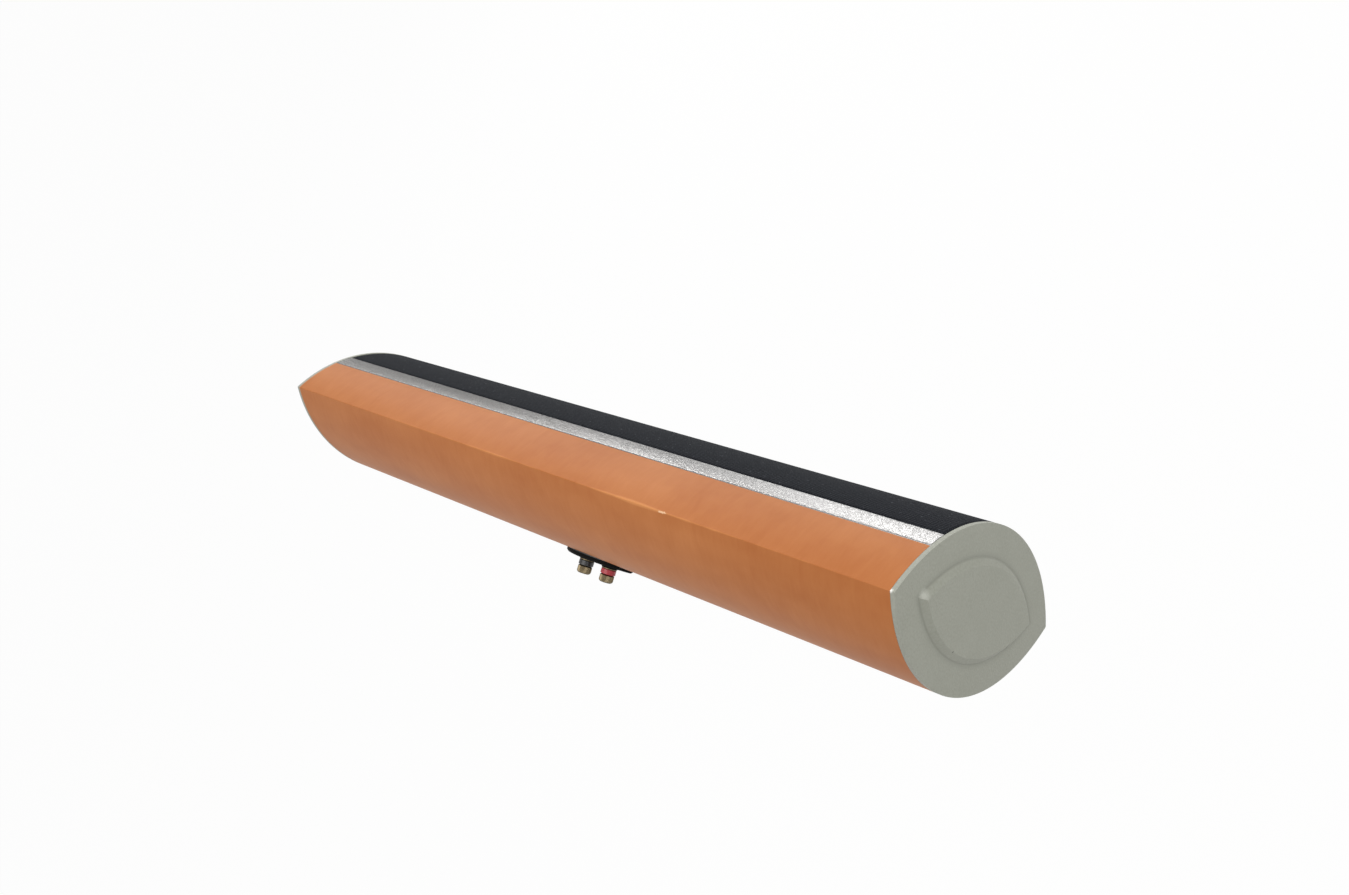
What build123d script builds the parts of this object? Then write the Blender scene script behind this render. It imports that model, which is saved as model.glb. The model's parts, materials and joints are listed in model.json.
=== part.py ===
"""A passive speaker bar with a lens-shaped section.

X runs along the bar, the grille faces -Y, the crest line of the back is Y = 0 and Z is up.
All sizes are in millimetres.
"""

import os
from math import cos, pi, radians, sin, sqrt

from build123d import *

# Cabinet
LENGTH = 475.5  # between the faces of the two end caps' rims
WIDTH = 156.0  # from ridge to ridge, before the ridges are rounded
DEPTH = 83.0  # from the crest of the grille to the crest of the back
WALL = 9.0
RIDGE_RADIUS = 1.5
FIT = 0.2  # gap round a piece that is glued or pushed in place
END_PANEL_THICKNESS = 10.0

# Baffle and the ledges of the shell that carry it
BAFFLE_SET_BACK = 17.0  # from the crest of the grille to the baffle's face
BAFFLE_THICKNESS = 8.0
LEDGE_THICKNESS = 6.0
LEDGE_WIDTH = 6.0
BAFFLE_SCREW_X = (70.0, 168.0)

# Silver strips, by their distance from the middle of the front
STRIP_INNER_EDGE = 46.5
STRIP_WIDTH = 9.4
STRIP_THICKNESS = 2.4
STRIP_SEAM = 0.3

# End caps
CAP_RIM = 2.4
CAP_EDGE_RADIUS = 0.5
PANEL_INSET = 16.3  # from the cap's outline to the foot of its raised panel
PANEL_BEVEL = 3.2
PANEL_HEIGHT = 2.2
SKIRT_DEPTH = 5.0
SKIRT_THICKNESS = 2.0
CAP_PEG_RADIUS = 3.0
CAP_PEG_PITCH = 30.0
CAP_PEG_DEPTH = 7.0  # how far a peg goes into the end panel

# Grille
GRILLE_GAP = 0.5
GRILLE_LIFT = 0.4  # from the grille's edge to the baffle
CLOTH_THICKNESS = 0.8
GRILLE_FRAME_THICKNESS = 2.5
GRILLE_BORDER = 6.0
GRILLE_RIB = 3.0
GRILLE_WINDOWS = 11
GRILLE_PEG_RADIUS = 2.5
GRILLE_PEG_X = (-200.0, 0.0, 200.0)
GRILLE_PEG_Z = 40.0
GRILLE_PEG_DEPTH = 5.5
SOCKET_WALL = 1.6
SOCKET_DEPTH = 6.5
SLIDING_GAP = 0.3  # round every piece that slides

# Woofers, sizes along Y count from the baffle's face
WOOFER_X = 115.0
FLANGE_RADIUS = 44.0
FLANGE_THICKNESS = 3.0
BASKET_TOP_RADIUS = 36.2
BASKET_FOOT_RADIUS = 33.5
BASKET_WALL = 2.0
LANDING_DEPTH = 2.0  # where the edge of the surround is glued
LANDING_RADIUS = 39.6
GASKET_WIDTH = 3.4
SPIDER_RISE = 6.0  # from the spider's shelf to the foot of the basket
SPIDER_LANDING = 3.4
SPIDER_WAVES = 4
SPIDER_WAVE_HEIGHT = 0.9
SHEET_THICKNESS = 0.6  # surround, spider and dust cap
ROLL_RADIUS = 2.8
CONE_RADIUS = 29.8
CONE_EDGE = 2.4
CONE_THICKNESS = 1.1
CONE_RISE = 5.0  # from the foot of the cone to the spider's shelf
DUST_CAP_RADIUS = 15.2
DUST_CAP_HEIGHT = 4.5
COIL_INNER_RADIUS = 12.9
FORMER_THICKNESS = 0.4
WINDING_THICKNESS = 0.6
WINDING_LENGTH = 10.0
MAGNET_GAP = 0.4  # from the coil to the pole and to the top plate
TOP_PLATE_RADIUS = 30.0
TOP_PLATE_THICKNESS = 4.0
MAGNET_RADIUS = 32.5
MAGNET_HOLE_RADIUS = 17.0
MAGNET_THICKNESS = 12.0
YOKE_THICKNESS = 4.0
YOKE_GAP = 5.5  # from the rim of a yoke to the back wall
VENT_RADIUS = 4.0
WOOFER_SCREW_CIRCLE = 41.8
TAG_WIDTH = 8.0
TAG_HEIGHT = 6.0

# Tweeter, sizes along Y count from the baffle's face
FACEPLATE_RADIUS = 27.6
FACEPLATE_THICKNESS = 3.0
HUB_RADIUS = 22.8
HUB_HEIGHT = 2.0
HORN_RADIUS = 20.0
DOME_RADIUS = 13.2
DOME_HEIGHT = 5.2
DOME_RIM = 1.0
DOME_COIL_LENGTH = 5.5
DOME_COIL_THICKNESS = 0.6
TWEETER_PLATE_RADIUS = 22.0
TWEETER_PLATE_THICKNESS = 3.0
TWEETER_MAGNET_RADIUS = 22.5
TWEETER_MAGNET_HOLE = 16.0
TWEETER_MAGNET_THICKNESS = 9.0
TWEETER_SCREW_CIRCLE = 25.3

# Wood screws that hold the drivers and the baffle
SCREW_RADIUS = 1.5
SCREW_HEAD_RADIUS = 2.1
SCREW_HEAD_HEIGHT = 1.4
FRONT_SCREW_LENGTH = 10.0

# Terminal plate on the back
PLATE_LENGTH = 55.0
PLATE_HEIGHT = 30.0
PLATE_PROUD = 2.0
PLATE_CORNER = 3.0
PLATE_BEVEL = 0.8
GASKET_THICKNESS = 0.8
SEAT_DEPTH = 1.4
CUTOUT_LENGTH = 38.0
CUTOUT_HEIGHT = 14.0
PLATE_SCREW_X = 22.6
PLATE_SCREW_LENGTH = 8.0

# Binding posts
POST_PITCH = 19.0
STUD_RADIUS = 3.0
STUD_INNER_LENGTH = 12.0
PLUG_RADIUS = 2.0  # hole for a 4 mm plug
PLUG_DEPTH = 11.0
WIRE_HOLE_RADIUS = 0.9
BUSH_RADIUS = 5.0
BUSH_NECK_RADIUS = 3.8
BUSH_HEIGHT = 1.2
WASHER_RADIUS = 4.6
WASHER_THICKNESS = 0.8
RING_RADIUS = 4.5
RING_HEIGHT = 3.0
KNOB_RADIUS = 4.25
KNOB_SPIGOT_RADIUS = 3.7
KNOB_LENGTH = 7.9
KNOB_BEVEL = 0.8
KNURLS = 20
KNURL_DEPTH = 0.3
THREAD_GAP = 0.08
STUD_SUNK = 0.6  # how far the stud ends inside the knob
NUT_RADIUS = 4.8
NUT_THICKNESS = 3.0
SOLDER_TAG_THICKNESS = 0.6
SOLDER_TAG_LENGTH = 9.0
SOLDER_TAG_WIDTH = 4.0

# Threaded inserts for a wall bracket
INSERT_PITCH = 240.0
INSERT_RADIUS = 4.5
INSERT_BORE_RADIUS = 2.5
INSERT_LENGTH = 8.0

# Crossover
BOARD_X = 57.0
BOARD_LENGTH = 40.0
BOARD_HEIGHT = 70.0
BOARD_THICKNESS = 1.6
BOARD_Y = -21.0  # back face of the board
BOARD_SCREW_LENGTH = 6.0
CLEAT_WIDTH = 9.0
CLEAT_Z = 29.0
INDUCTOR_RADIUS = 13.0
INDUCTOR_HEIGHT = 13.0
INDUCTOR_CORE_RADIUS = 6.0
INDUCTOR_CHEEK = 1.5
INDUCTOR_Z = 17.0
CAPACITOR_RADIUS = 5.5
CAPACITOR_LENGTH = 26.0
CAPACITOR_Z = -10.5
CAPACITOR_PITCH = 13.0
RESISTOR_SIZE = (22.0, 9.0, 8.0)
RESISTOR_Z = -27.6
LEAD_RADIUS = 1.2
LEAD_BEND = 4.0
LEAD_EDGE = 3.0  # from the edge of the board to the leads on it

# Felt on the back wall, between each end panel and the woofer beside it
MAT_THICKNESS = 6.0
MAT_HALF_HEIGHT = 50.0
MAT_GAP = 4.0

# Places that follow from the sizes above
HALF_WIDTH = WIDTH / 2
ARC_RADIUS = (HALF_WIDTH**2 + (DEPTH / 2) ** 2) / DEPTH
ARC_OFFSET = ARC_RADIUS - DEPTH / 2
MID_Y = -DEPTH / 2
FRONT_Y = -DEPTH
SHELL_END = LENGTH / 2 - CAP_RIM
BAFFLE_Y = FRONT_Y + BAFFLE_SET_BACK
BAFFLE_BACK = BAFFLE_Y + BAFFLE_THICKNESS
LEDGE_BACK = BAFFLE_BACK + LEDGE_THICKNESS
LEDGE_EDGE = STRIP_INNER_EDGE - LEDGE_WIDTH
STRIP_OUTER_EDGE = STRIP_INNER_EDGE + STRIP_WIDTH
GRILLE_EDGE = STRIP_INNER_EDGE - GRILLE_GAP
GRILLE_END = SHELL_END - GRILLE_GAP
GRILLE_BACK = BAFFLE_Y - GRILLE_LIFT
END_PANEL_FACE = SHELL_END - SKIRT_DEPTH - FIT
CAP_PEG_Y = MID_Y + WALL
SOCKET_BORE = GRILLE_PEG_RADIUS + SLIDING_GAP
SOCKET_RADIUS = SOCKET_BORE + SOCKET_WALL
FORMER_RADIUS = COIL_INNER_RADIUS + FORMER_THICKNESS
COIL_RADIUS = FORMER_RADIUS + WINDING_THICKNESS
POLE_RADIUS = COIL_INNER_RADIUS - MAGNET_GAP
GAP_RADIUS = COIL_RADIUS + MAGNET_GAP
CUTOUT_RADIUS = BASKET_TOP_RADIUS + FIT
BACK_WALL_AT_YOKE = MID_Y - ARC_OFFSET + sqrt((ARC_RADIUS - WALL) ** 2 - TOP_PLATE_RADIUS**2)
YOKE_BACK = BACK_WALL_AT_YOKE - YOKE_GAP - BAFFLE_Y
YOKE_FRONT = YOKE_BACK - YOKE_THICKNESS
MAGNET_FRONT = YOKE_FRONT - MAGNET_THICKNESS
BASKET_DEPTH = MAGNET_FRONT - TOP_PLATE_THICKNESS
SPIDER_DEPTH = BASKET_DEPTH - SPIDER_RISE
CONE_FRONT = LANDING_DEPTH + SLIDING_GAP
CONE_FOOT = SPIDER_DEPTH - CONE_RISE
CONE_HEIGHT = CONE_FOOT - CONE_FRONT
NECK_RADIUS = FORMER_RADIUS + FIT / 2
WINDING_BACK = BASKET_DEPTH + (TOP_PLATE_THICKNESS + WINDING_LENGTH) / 2
PLATE_BACK = -SEAT_DEPTH + GASKET_THICKNESS
BUSH_TOP = PLATE_PROUD + BUSH_HEIGHT
WASHER_BACK = BUSH_TOP + THREAD_GAP
KNOB_BACK = WASHER_BACK + WASHER_THICKNESS + THREAD_GAP
KNOB_TOP = KNOB_BACK + KNOB_LENGTH
RING_TOP = KNOB_BACK + RING_HEIGHT
STUD_TOP = KNOB_TOP - STUD_SUNK
THREAD_BORE = STUD_RADIUS + THREAD_GAP
TAG_BACK = PLATE_BACK - NUT_THICKNESS
BOARD_FRONT = BOARD_Y - BOARD_THICKNESS
SIDES = {"left": -1, "right": 1}
POSTS = {"red": -POST_PITCH / 2, "black": POST_PITCH / 2}
QUARTERS = (45, 135, 225, 315)


def block(x, y, z):
    """A box between two X, two Y and two Z values."""
    size = [high - low for low, high in (x, y, z)]
    centre = [(high + low) / 2 for low, high in (x, y, z)]
    return Pos(*centre) * Box(*size)


def lens_face(inset, x, ridge=0.0):
    """The lens section, moved inwards by an inset, standing at a place along X."""
    radius = ARC_RADIUS - inset
    half = sqrt(radius**2 - ARC_OFFSET**2)
    crest = radius - ARC_OFFSET
    front = ThreePointArc((MID_Y, -half), (MID_Y - crest, 0), (MID_Y, half))
    back = ThreePointArc((MID_Y, half), (MID_Y + crest, 0), (MID_Y, -half))
    face = make_face([front, back])
    if ridge:
        face = fillet(face.vertices(), ridge)
    return Plane.YZ.offset(x) * face


def lens_bar(inset, start, end, ridge=0.0):
    return extrude(lens_face(inset, start, ridge), amount=end - start, dir=(1, 0, 0))


def turned(outline, x=0.0, z=0.0):
    """A solid turned about an axis along Y, from an outline of radii and Y values."""
    return Pos(x, 0, z) * revolve(make_face(Polyline(*outline, close=True)), Axis.Y)


def tube(inner, outer, y, x=0.0, z=0.0):
    low, high = y
    return turned([(inner, low), (outer, low), (outer, high), (inner, high)], x, z)


def rod(radius, y, x=0.0, z=0.0):
    return tube(0, radius, y, x, z)


def dome(radius, rim_y, height, thickness, x=0.0):
    """A thin round cap that bulges towards the front."""
    ball = (radius**2 + height**2) / (2 * height)
    centre = rim_y - height + ball
    inner = ball - thickness
    lean = (radius / ball) / 2
    outer_mid = (ball * sin(lean), centre - ball * cos(lean))
    inner_mid = (inner * sin(lean), centre - inner * cos(lean))
    inner_rim = (sqrt(inner**2 - (centre - rim_y) ** 2), rim_y)
    edges = [
        ThreePointArc((0, centre - ball), outer_mid, (radius, rim_y)),
        Line((radius, rim_y), inner_rim),
        ThreePointArc(inner_rim, inner_mid, (0, centre - inner)),
        Line((0, centre - inner), (0, centre - ball)),
    ]
    return Pos(x, 0, 0) * revolve(make_face(edges), Axis.Y)


def around(radius, x, angles):
    """Places on a circle about an axis along Y."""
    return [(x + radius * cos(radians(a)), radius * sin(radians(a))) for a in angles]


def deep(depth):
    """The Y value at a depth behind the baffle's face."""
    return BAFFLE_Y + depth


def chamber(start, end, gap=0.0):
    """The hollow behind the baffle, with a gap all round."""
    span = (start, end)
    body = lens_bar(WALL + gap, start, end)
    body &= block(span, (LEDGE_BACK + gap, 0), (-HALF_WIDTH, HALF_WIDTH))
    edge = LEDGE_EDGE - gap
    return body + block(span, (BAFFLE_BACK + gap, LEDGE_BACK + WALL), (-edge, edge))


def strip_room(sign, thickness, seam, end):
    """The room of one silver strip, on the upper or the lower side of the grille."""
    edges = sorted((sign * STRIP_INNER_EDGE, sign * (STRIP_OUTER_EDGE - seam)))
    skin = lens_bar(0, -end, end) - lens_bar(thickness, -end, end)
    return skin & block((-end, end), (FRONT_Y, MID_Y), edges)


def screw(y, length, x, z, towards=1):
    """A countersunk wood screw along Y, with its head at y and its tip beyond it."""
    neck = y + towards * SCREW_HEAD_HEIGHT
    shank_end = y + towards * (length - SCREW_RADIUS)
    tip = y + towards * length
    outline = [
        (0, y),
        (SCREW_HEAD_RADIUS, y),
        (SCREW_RADIUS, neck),
        (SCREW_RADIUS, shank_end),
        (0, tip),
    ]
    return turned(outline, x, z)


# Places of the fasteners, shared by the screws and by the holes that take them
BAFFLE_SCREW_PLACES = [
    (sign * x, up * (STRIP_INNER_EDGE - LEDGE_WIDTH / 2))
    for x in BAFFLE_SCREW_X
    for sign in (-1, 1)
    for up in (-1, 1)
]
WOOFER_SCREW_PLACES = {
    side: around(WOOFER_SCREW_CIRCLE, sign * WOOFER_X, QUARTERS) for side, sign in SIDES.items()
}
TWEETER_SCREW_PLACES = around(TWEETER_SCREW_CIRCLE, 0, QUARTERS)
DRIVER_SCREW_PLACES = WOOFER_SCREW_PLACES["left"] + WOOFER_SCREW_PLACES["right"] + TWEETER_SCREW_PLACES
PLATE_SCREW_PLACES = [(-PLATE_SCREW_X, 0), (PLATE_SCREW_X, 0)]
PEG_PLACES = [(x, up * GRILLE_PEG_Z) for x in GRILLE_PEG_X for up in (-1, 1)]
INSERT_PLACES = [-INSERT_PITCH / 2, INSERT_PITCH / 2]
FRONT_SCREW_PLACES = BAFFLE_SCREW_PLACES + DRIVER_SCREW_PLACES
FRONT_SCREWS = [screw(BAFFLE_Y, FRONT_SCREW_LENGTH, x, z) for x, z in FRONT_SCREW_PLACES]
PLATE_SCREWS = [screw(PLATE_PROUD, PLATE_SCREW_LENGTH, x, z, -1) for x, z in PLATE_SCREW_PLACES]


def cabinet_shell():
    """The wooden shell: lens outside, chamber inside, open along the front for baffle and grille."""
    shell = lens_bar(0, -SHELL_END, SHELL_END, RIDGE_RADIUS)
    shell -= chamber(-SHELL_END, SHELL_END)
    opening = (-STRIP_INNER_EDGE, STRIP_INNER_EDGE)
    shell -= block((-SHELL_END, SHELL_END), (FRONT_Y - WALL, BAFFLE_BACK), opening)
    for sign in (-1, 1):
        shell -= strip_room(sign, STRIP_THICKNESS, 0, SHELL_END)
    shell -= plate_block(FIT, (-SEAT_DEPTH, PLATE_PROUD))
    half_x, half_z = CUTOUT_LENGTH / 2, CUTOUT_HEIGHT / 2
    shell -= block((-half_x, half_x), (-2 * WALL, 0), (-half_z, half_z))
    shell -= [rod(INSERT_RADIUS, (-INSERT_LENGTH, WALL), x) for x in INSERT_PLACES]
    return shell - FRONT_SCREWS - PLATE_SCREWS


def end_panel(sign):
    """A board that closes one end of the chamber, with holes for the cap's pegs."""
    panel = chamber(END_PANEL_FACE - END_PANEL_THICKNESS, END_PANEL_FACE, FIT)
    panel -= cap_pegs(FIT)
    return panel if sign > 0 else mirror(panel, about=Plane.YZ)


def cap_pegs(gap):
    tip = END_PANEL_FACE - CAP_PEG_DEPTH - gap
    length = SHELL_END + PANEL_HEIGHT + CAP_RIM / 2 - tip
    peg = Cylinder(CAP_PEG_RADIUS + gap, length, rotation=(0, 90, 0))
    return [Pos(tip + length / 2, CAP_PEG_Y, i * CAP_PEG_PITCH) * peg for i in (-1, 0, 1)]


def end_cap(sign):
    """A moulded cap: thin plate with a raised lens panel, hollow behind, with a skirt and pegs."""
    face = SHELL_END + CAP_RIM
    cap = lens_bar(0, SHELL_END, face, RIDGE_RADIUS)
    cap = fillet(cap.faces().sort_by(Axis.X)[-1].edges(), CAP_EDGE_RADIUS)
    foot = lens_face(PANEL_INSET, face)
    crown = lens_face(PANEL_INSET + PANEL_BEVEL, face + PANEL_HEIGHT)
    cap += loft([foot, crown], ruled=True)
    hollow_foot = lens_face(PANEL_INSET + CAP_RIM, SHELL_END)
    hollow_crown = lens_face(PANEL_INSET + CAP_RIM + PANEL_BEVEL, SHELL_END + PANEL_HEIGHT)
    inside_skirt = chamber(SHELL_END, face + PANEL_HEIGHT, FIT + SKIRT_THICKNESS)
    cap -= loft([hollow_foot, hollow_crown], ruled=True) & inside_skirt
    skirt_end = SHELL_END - SKIRT_DEPTH
    cap += chamber(skirt_end, SHELL_END, FIT) - chamber(skirt_end, SHELL_END, FIT + SKIRT_THICKNESS)
    cap += cap_pegs(0)
    return cap if sign > 0 else mirror(cap, about=Plane.YZ)


def trim_strip(sign):
    return strip_room(sign, STRIP_THICKNESS - FIT / 2, STRIP_SEAM, SHELL_END - FIT / 2)


def front_baffle():
    """The board that carries the drivers, rebated so that their flanges lie flush."""
    edge = STRIP_INNER_EDGE - FIT
    baffle = block((-SHELL_END, SHELL_END), (BAFFLE_Y, BAFFLE_BACK), (-edge, edge))
    for sign in SIDES.values():
        baffle -= rod(FLANGE_RADIUS + FIT, (BAFFLE_Y, deep(FLANGE_THICKNESS)), sign * WOOFER_X)
        baffle -= rod(CUTOUT_RADIUS, (BAFFLE_Y, BAFFLE_BACK), sign * WOOFER_X)
    baffle -= rod(FACEPLATE_RADIUS + FIT, (BAFFLE_Y, deep(FACEPLATE_THICKNESS)))
    baffle -= rod(HUB_RADIUS + FIT, (BAFFLE_Y, BAFFLE_BACK))
    baffle -= [rod(SOCKET_RADIUS, (BAFFLE_Y, deep(SOCKET_DEPTH)), x, z) for x, z in PEG_PLACES]
    return baffle - FRONT_SCREWS


def grille_block(inset, back):
    """The room of the grille, moved inwards by an inset."""
    end = GRILLE_END - inset
    edge = GRILLE_EDGE - inset
    return lens_bar(inset, -end, end) & block((-end, end), (FRONT_Y, back), (-edge, edge))


def grille_cloth():
    return grille_block(0, GRILLE_BACK) - grille_block(CLOTH_THICKNESS, BAFFLE_BACK)


def grille_frame():
    """The moulded frame under the cloth: a curved lattice with side walls and push-in pegs."""
    inner = CLOTH_THICKNESS + GRILLE_FRAME_THICKNESS
    frame = grille_block(CLOTH_THICKNESS, GRILLE_BACK) - grille_block(inner, BAFFLE_BACK)
    reach = GRILLE_END - inner - GRILLE_BORDER
    pitch = (2 * reach + GRILLE_RIB) / GRILLE_WINDOWS
    top = GRILLE_EDGE - inner - GRILLE_BORDER
    for i in range(GRILLE_WINDOWS):
        start = -reach + i * pitch
        span = (start, start + pitch - GRILLE_RIB)
        for rows in ((GRILLE_RIB / 2, top), (-top, -GRILLE_RIB / 2)):
            frame -= block(span, (FRONT_Y, GRILLE_BACK), rows)
    inside = lens_bar(inner - GRILLE_FRAME_THICKNESS / 2, -GRILLE_END, GRILLE_END)
    for x, z in PEG_PLACES:
        frame += rod(GRILLE_PEG_RADIUS, (FRONT_Y, deep(GRILLE_PEG_DEPTH)), x, z) & inside
    return frame


def grille_sockets():
    span = (BAFFLE_Y, deep(SOCKET_DEPTH))
    return Part() + [tube(SOCKET_BORE, SOCKET_RADIUS, span, x, z) for x, z in PEG_PLACES]


def woofer_frame(x, sign):
    """The basket: flange, landing for the surround, four legs, spider shelf, foot on the top plate."""
    shelf = BASKET_FOOT_RADIUS - BASKET_WALL
    outline = [
        (FLANGE_RADIUS, deep(0)),
        (FLANGE_RADIUS, deep(FLANGE_THICKNESS)),
        (BASKET_TOP_RADIUS, deep(FLANGE_THICKNESS)),
        (BASKET_FOOT_RADIUS, deep(BASKET_DEPTH - BASKET_WALL)),
        (BASKET_FOOT_RADIUS, deep(BASKET_DEPTH)),
        (GAP_RADIUS, deep(BASKET_DEPTH)),
        (GAP_RADIUS, deep(BASKET_DEPTH - BASKET_WALL)),
        (shelf - SPIDER_LANDING, deep(BASKET_DEPTH - BASKET_WALL)),
        (shelf - SPIDER_LANDING, deep(SPIDER_DEPTH)),
        (shelf, deep(SPIDER_DEPTH)),
        (BASKET_TOP_RADIUS - BASKET_WALL, deep(LANDING_DEPTH)),
        (LANDING_RADIUS, deep(LANDING_DEPTH)),
        (LANDING_RADIUS, deep(0)),
    ]
    frame = turned(outline, x)
    window = (deep(FLANGE_THICKNESS + BASKET_WALL), deep(SPIDER_DEPTH - BASKET_WALL))
    half = BASKET_FOOT_RADIUS / 2
    opening = block((shelf - SPIDER_LANDING, FLANGE_RADIUS), window, (-half, half))
    frame -= [Pos(x, 0, 0) * Rot(0, a, 0) * opening for a in QUARTERS]
    tag_top = SPIDER_DEPTH - BASKET_WALL - TAG_HEIGHT
    tag_x = sorted(x - sign * r for r in (BASKET_FOOT_RADIUS, BASKET_TOP_RADIUS))
    frame += block(tag_x, (deep(tag_top), deep(tag_top + TAG_HEIGHT)), (-TAG_WIDTH / 2, TAG_WIDTH / 2))
    return frame - FRONT_SCREWS


def woofer_gaskets():
    span = (deep(0), deep(LANDING_DEPTH - SHEET_THICKNESS))
    inner, outer = LANDING_RADIUS - FIT - GASKET_WIDTH, LANDING_RADIUS - FIT
    return Part() + [tube(inner, outer, span, sign * WOOFER_X) for sign in SIDES.values()]


def woofer_surround(x):
    """The half roll between cone and basket, with a flat lip on each side."""
    front, back = deep(LANDING_DEPTH - SHEET_THICKNESS), deep(LANDING_DEPTH)
    low = CONE_RADIUS - CONE_EDGE
    high = LANDING_RADIUS - FIT
    middle = CONE_RADIUS + ROLL_RADIUS
    outer, inner = ROLL_RADIUS + SHEET_THICKNESS / 2, ROLL_RADIUS - SHEET_THICKNESS / 2
    edges = [
        Line((low, front), (middle - outer, front)),
        ThreePointArc((middle - outer, front), (middle, front - outer), (middle + outer, front)),
        Line((middle + outer, front), (high, front)),
        Line((high, front), (high, back)),
        Line((high, back), (middle + inner, back)),
        ThreePointArc((middle + inner, back), (middle, back - inner), (middle - inner, back)),
        Line((middle - inner, back), (low, back)),
        Line((low, back), (low, front)),
    ]
    return Pos(x, 0, 0) * revolve(make_face(edges), Axis.Y)


def woofer_cone(x):
    """A straight paper cone with a flat edge and a short neck on the coil former."""
    edge = CONE_RADIUS - CONE_EDGE
    outline = [
        (CONE_RADIUS, deep(CONE_FRONT)),
        (CONE_RADIUS, deep(CONE_FRONT + CONE_THICKNESS)),
        (edge, deep(CONE_FRONT + CONE_THICKNESS)),
        (NECK_RADIUS, deep(CONE_FOOT + CONE_THICKNESS)),
        (NECK_RADIUS, deep(CONE_FOOT)),
        (edge, deep(CONE_FRONT)),
    ]
    return turned(outline, x)


def woofer_dust_cap(x):
    slope = CONE_HEIGHT / (CONE_RADIUS - CONE_EDGE - NECK_RADIUS)
    rim = CONE_FOOT - (DUST_CAP_RADIUS - NECK_RADIUS) * slope - FIT
    return dome(DUST_CAP_RADIUS, deep(rim), DUST_CAP_HEIGHT, SHEET_THICKNESS, x)


def woofer_spider(x):
    """A disc of treated cloth with round waves, glued to a shelf of the basket."""
    inner = FORMER_RADIUS + SLIDING_GAP
    outer = BASKET_FOOT_RADIUS - BASKET_WALL - FIT
    waves_end = outer - SPIDER_LANDING
    step = (waves_end - inner) / (2 * SPIDER_WAVES)
    top = SPIDER_DEPTH - SHEET_THICKNESS
    zigzag = [(inner + i * step, -SPIDER_WAVE_HEIGHT * (i % 2)) for i in range(2 * SPIDER_WAVES + 1)]
    upper = [(r, deep(top + h)) for r, h in zigzag] + [(outer, deep(top))]
    lower = [(outer, deep(SPIDER_DEPTH))] + [(r, deep(SPIDER_DEPTH + h)) for r, h in reversed(zigzag)]
    return turned(upper + lower, x)


def woofer_voice_coil(x):
    """The former with its winding round the end that sits in the magnet's gap."""
    front, back = deep(CONE_FOOT - CONE_THICKNESS), deep(WINDING_BACK)
    former = tube(COIL_INNER_RADIUS, FORMER_RADIUS, (front, back), x)
    return former + tube(FORMER_RADIUS, COIL_RADIUS, (back - WINDING_LENGTH, back), x)


def woofer_top_plate(x):
    return tube(GAP_RADIUS, TOP_PLATE_RADIUS, (deep(BASKET_DEPTH), deep(MAGNET_FRONT)), x)


def woofer_magnet(x):
    magnet = tube(MAGNET_HOLE_RADIUS, MAGNET_RADIUS, (deep(MAGNET_FRONT), deep(YOKE_FRONT)), x)
    rims = magnet.edges().filter_by(GeomType.CIRCLE).sort_by(SortBy.RADIUS)[-2:]
    return chamfer(rims, BASKET_WALL / 2)


def woofer_yoke(x):
    """The back plate and the vented pole in one piece."""
    outline = [
        (VENT_RADIUS, deep(BASKET_DEPTH)),
        (POLE_RADIUS, deep(BASKET_DEPTH)),
        (POLE_RADIUS, deep(YOKE_FRONT)),
        (TOP_PLATE_RADIUS, deep(YOKE_FRONT)),
        (TOP_PLATE_RADIUS, deep(YOKE_BACK)),
        (VENT_RADIUS, deep(YOKE_BACK)),
    ]
    return turned(outline, x)


def woofer(side, sign):
    """All pieces of one woofer."""
    x = sign * WOOFER_X
    return {
        f"woofer_{side}_frame": woofer_frame(x, sign),
        f"woofer_{side}_surround": woofer_surround(x),
        f"woofer_{side}_cone": woofer_cone(x),
        f"woofer_{side}_dust_cap": woofer_dust_cap(x),
        f"woofer_{side}_spider": woofer_spider(x),
        f"woofer_{side}_voice_coil": woofer_voice_coil(x),
        f"woofer_{side}_top_plate": woofer_top_plate(x),
        f"woofer_{side}_magnet": woofer_magnet(x),
        f"woofer_{side}_yoke": woofer_yoke(x),
    }


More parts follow.
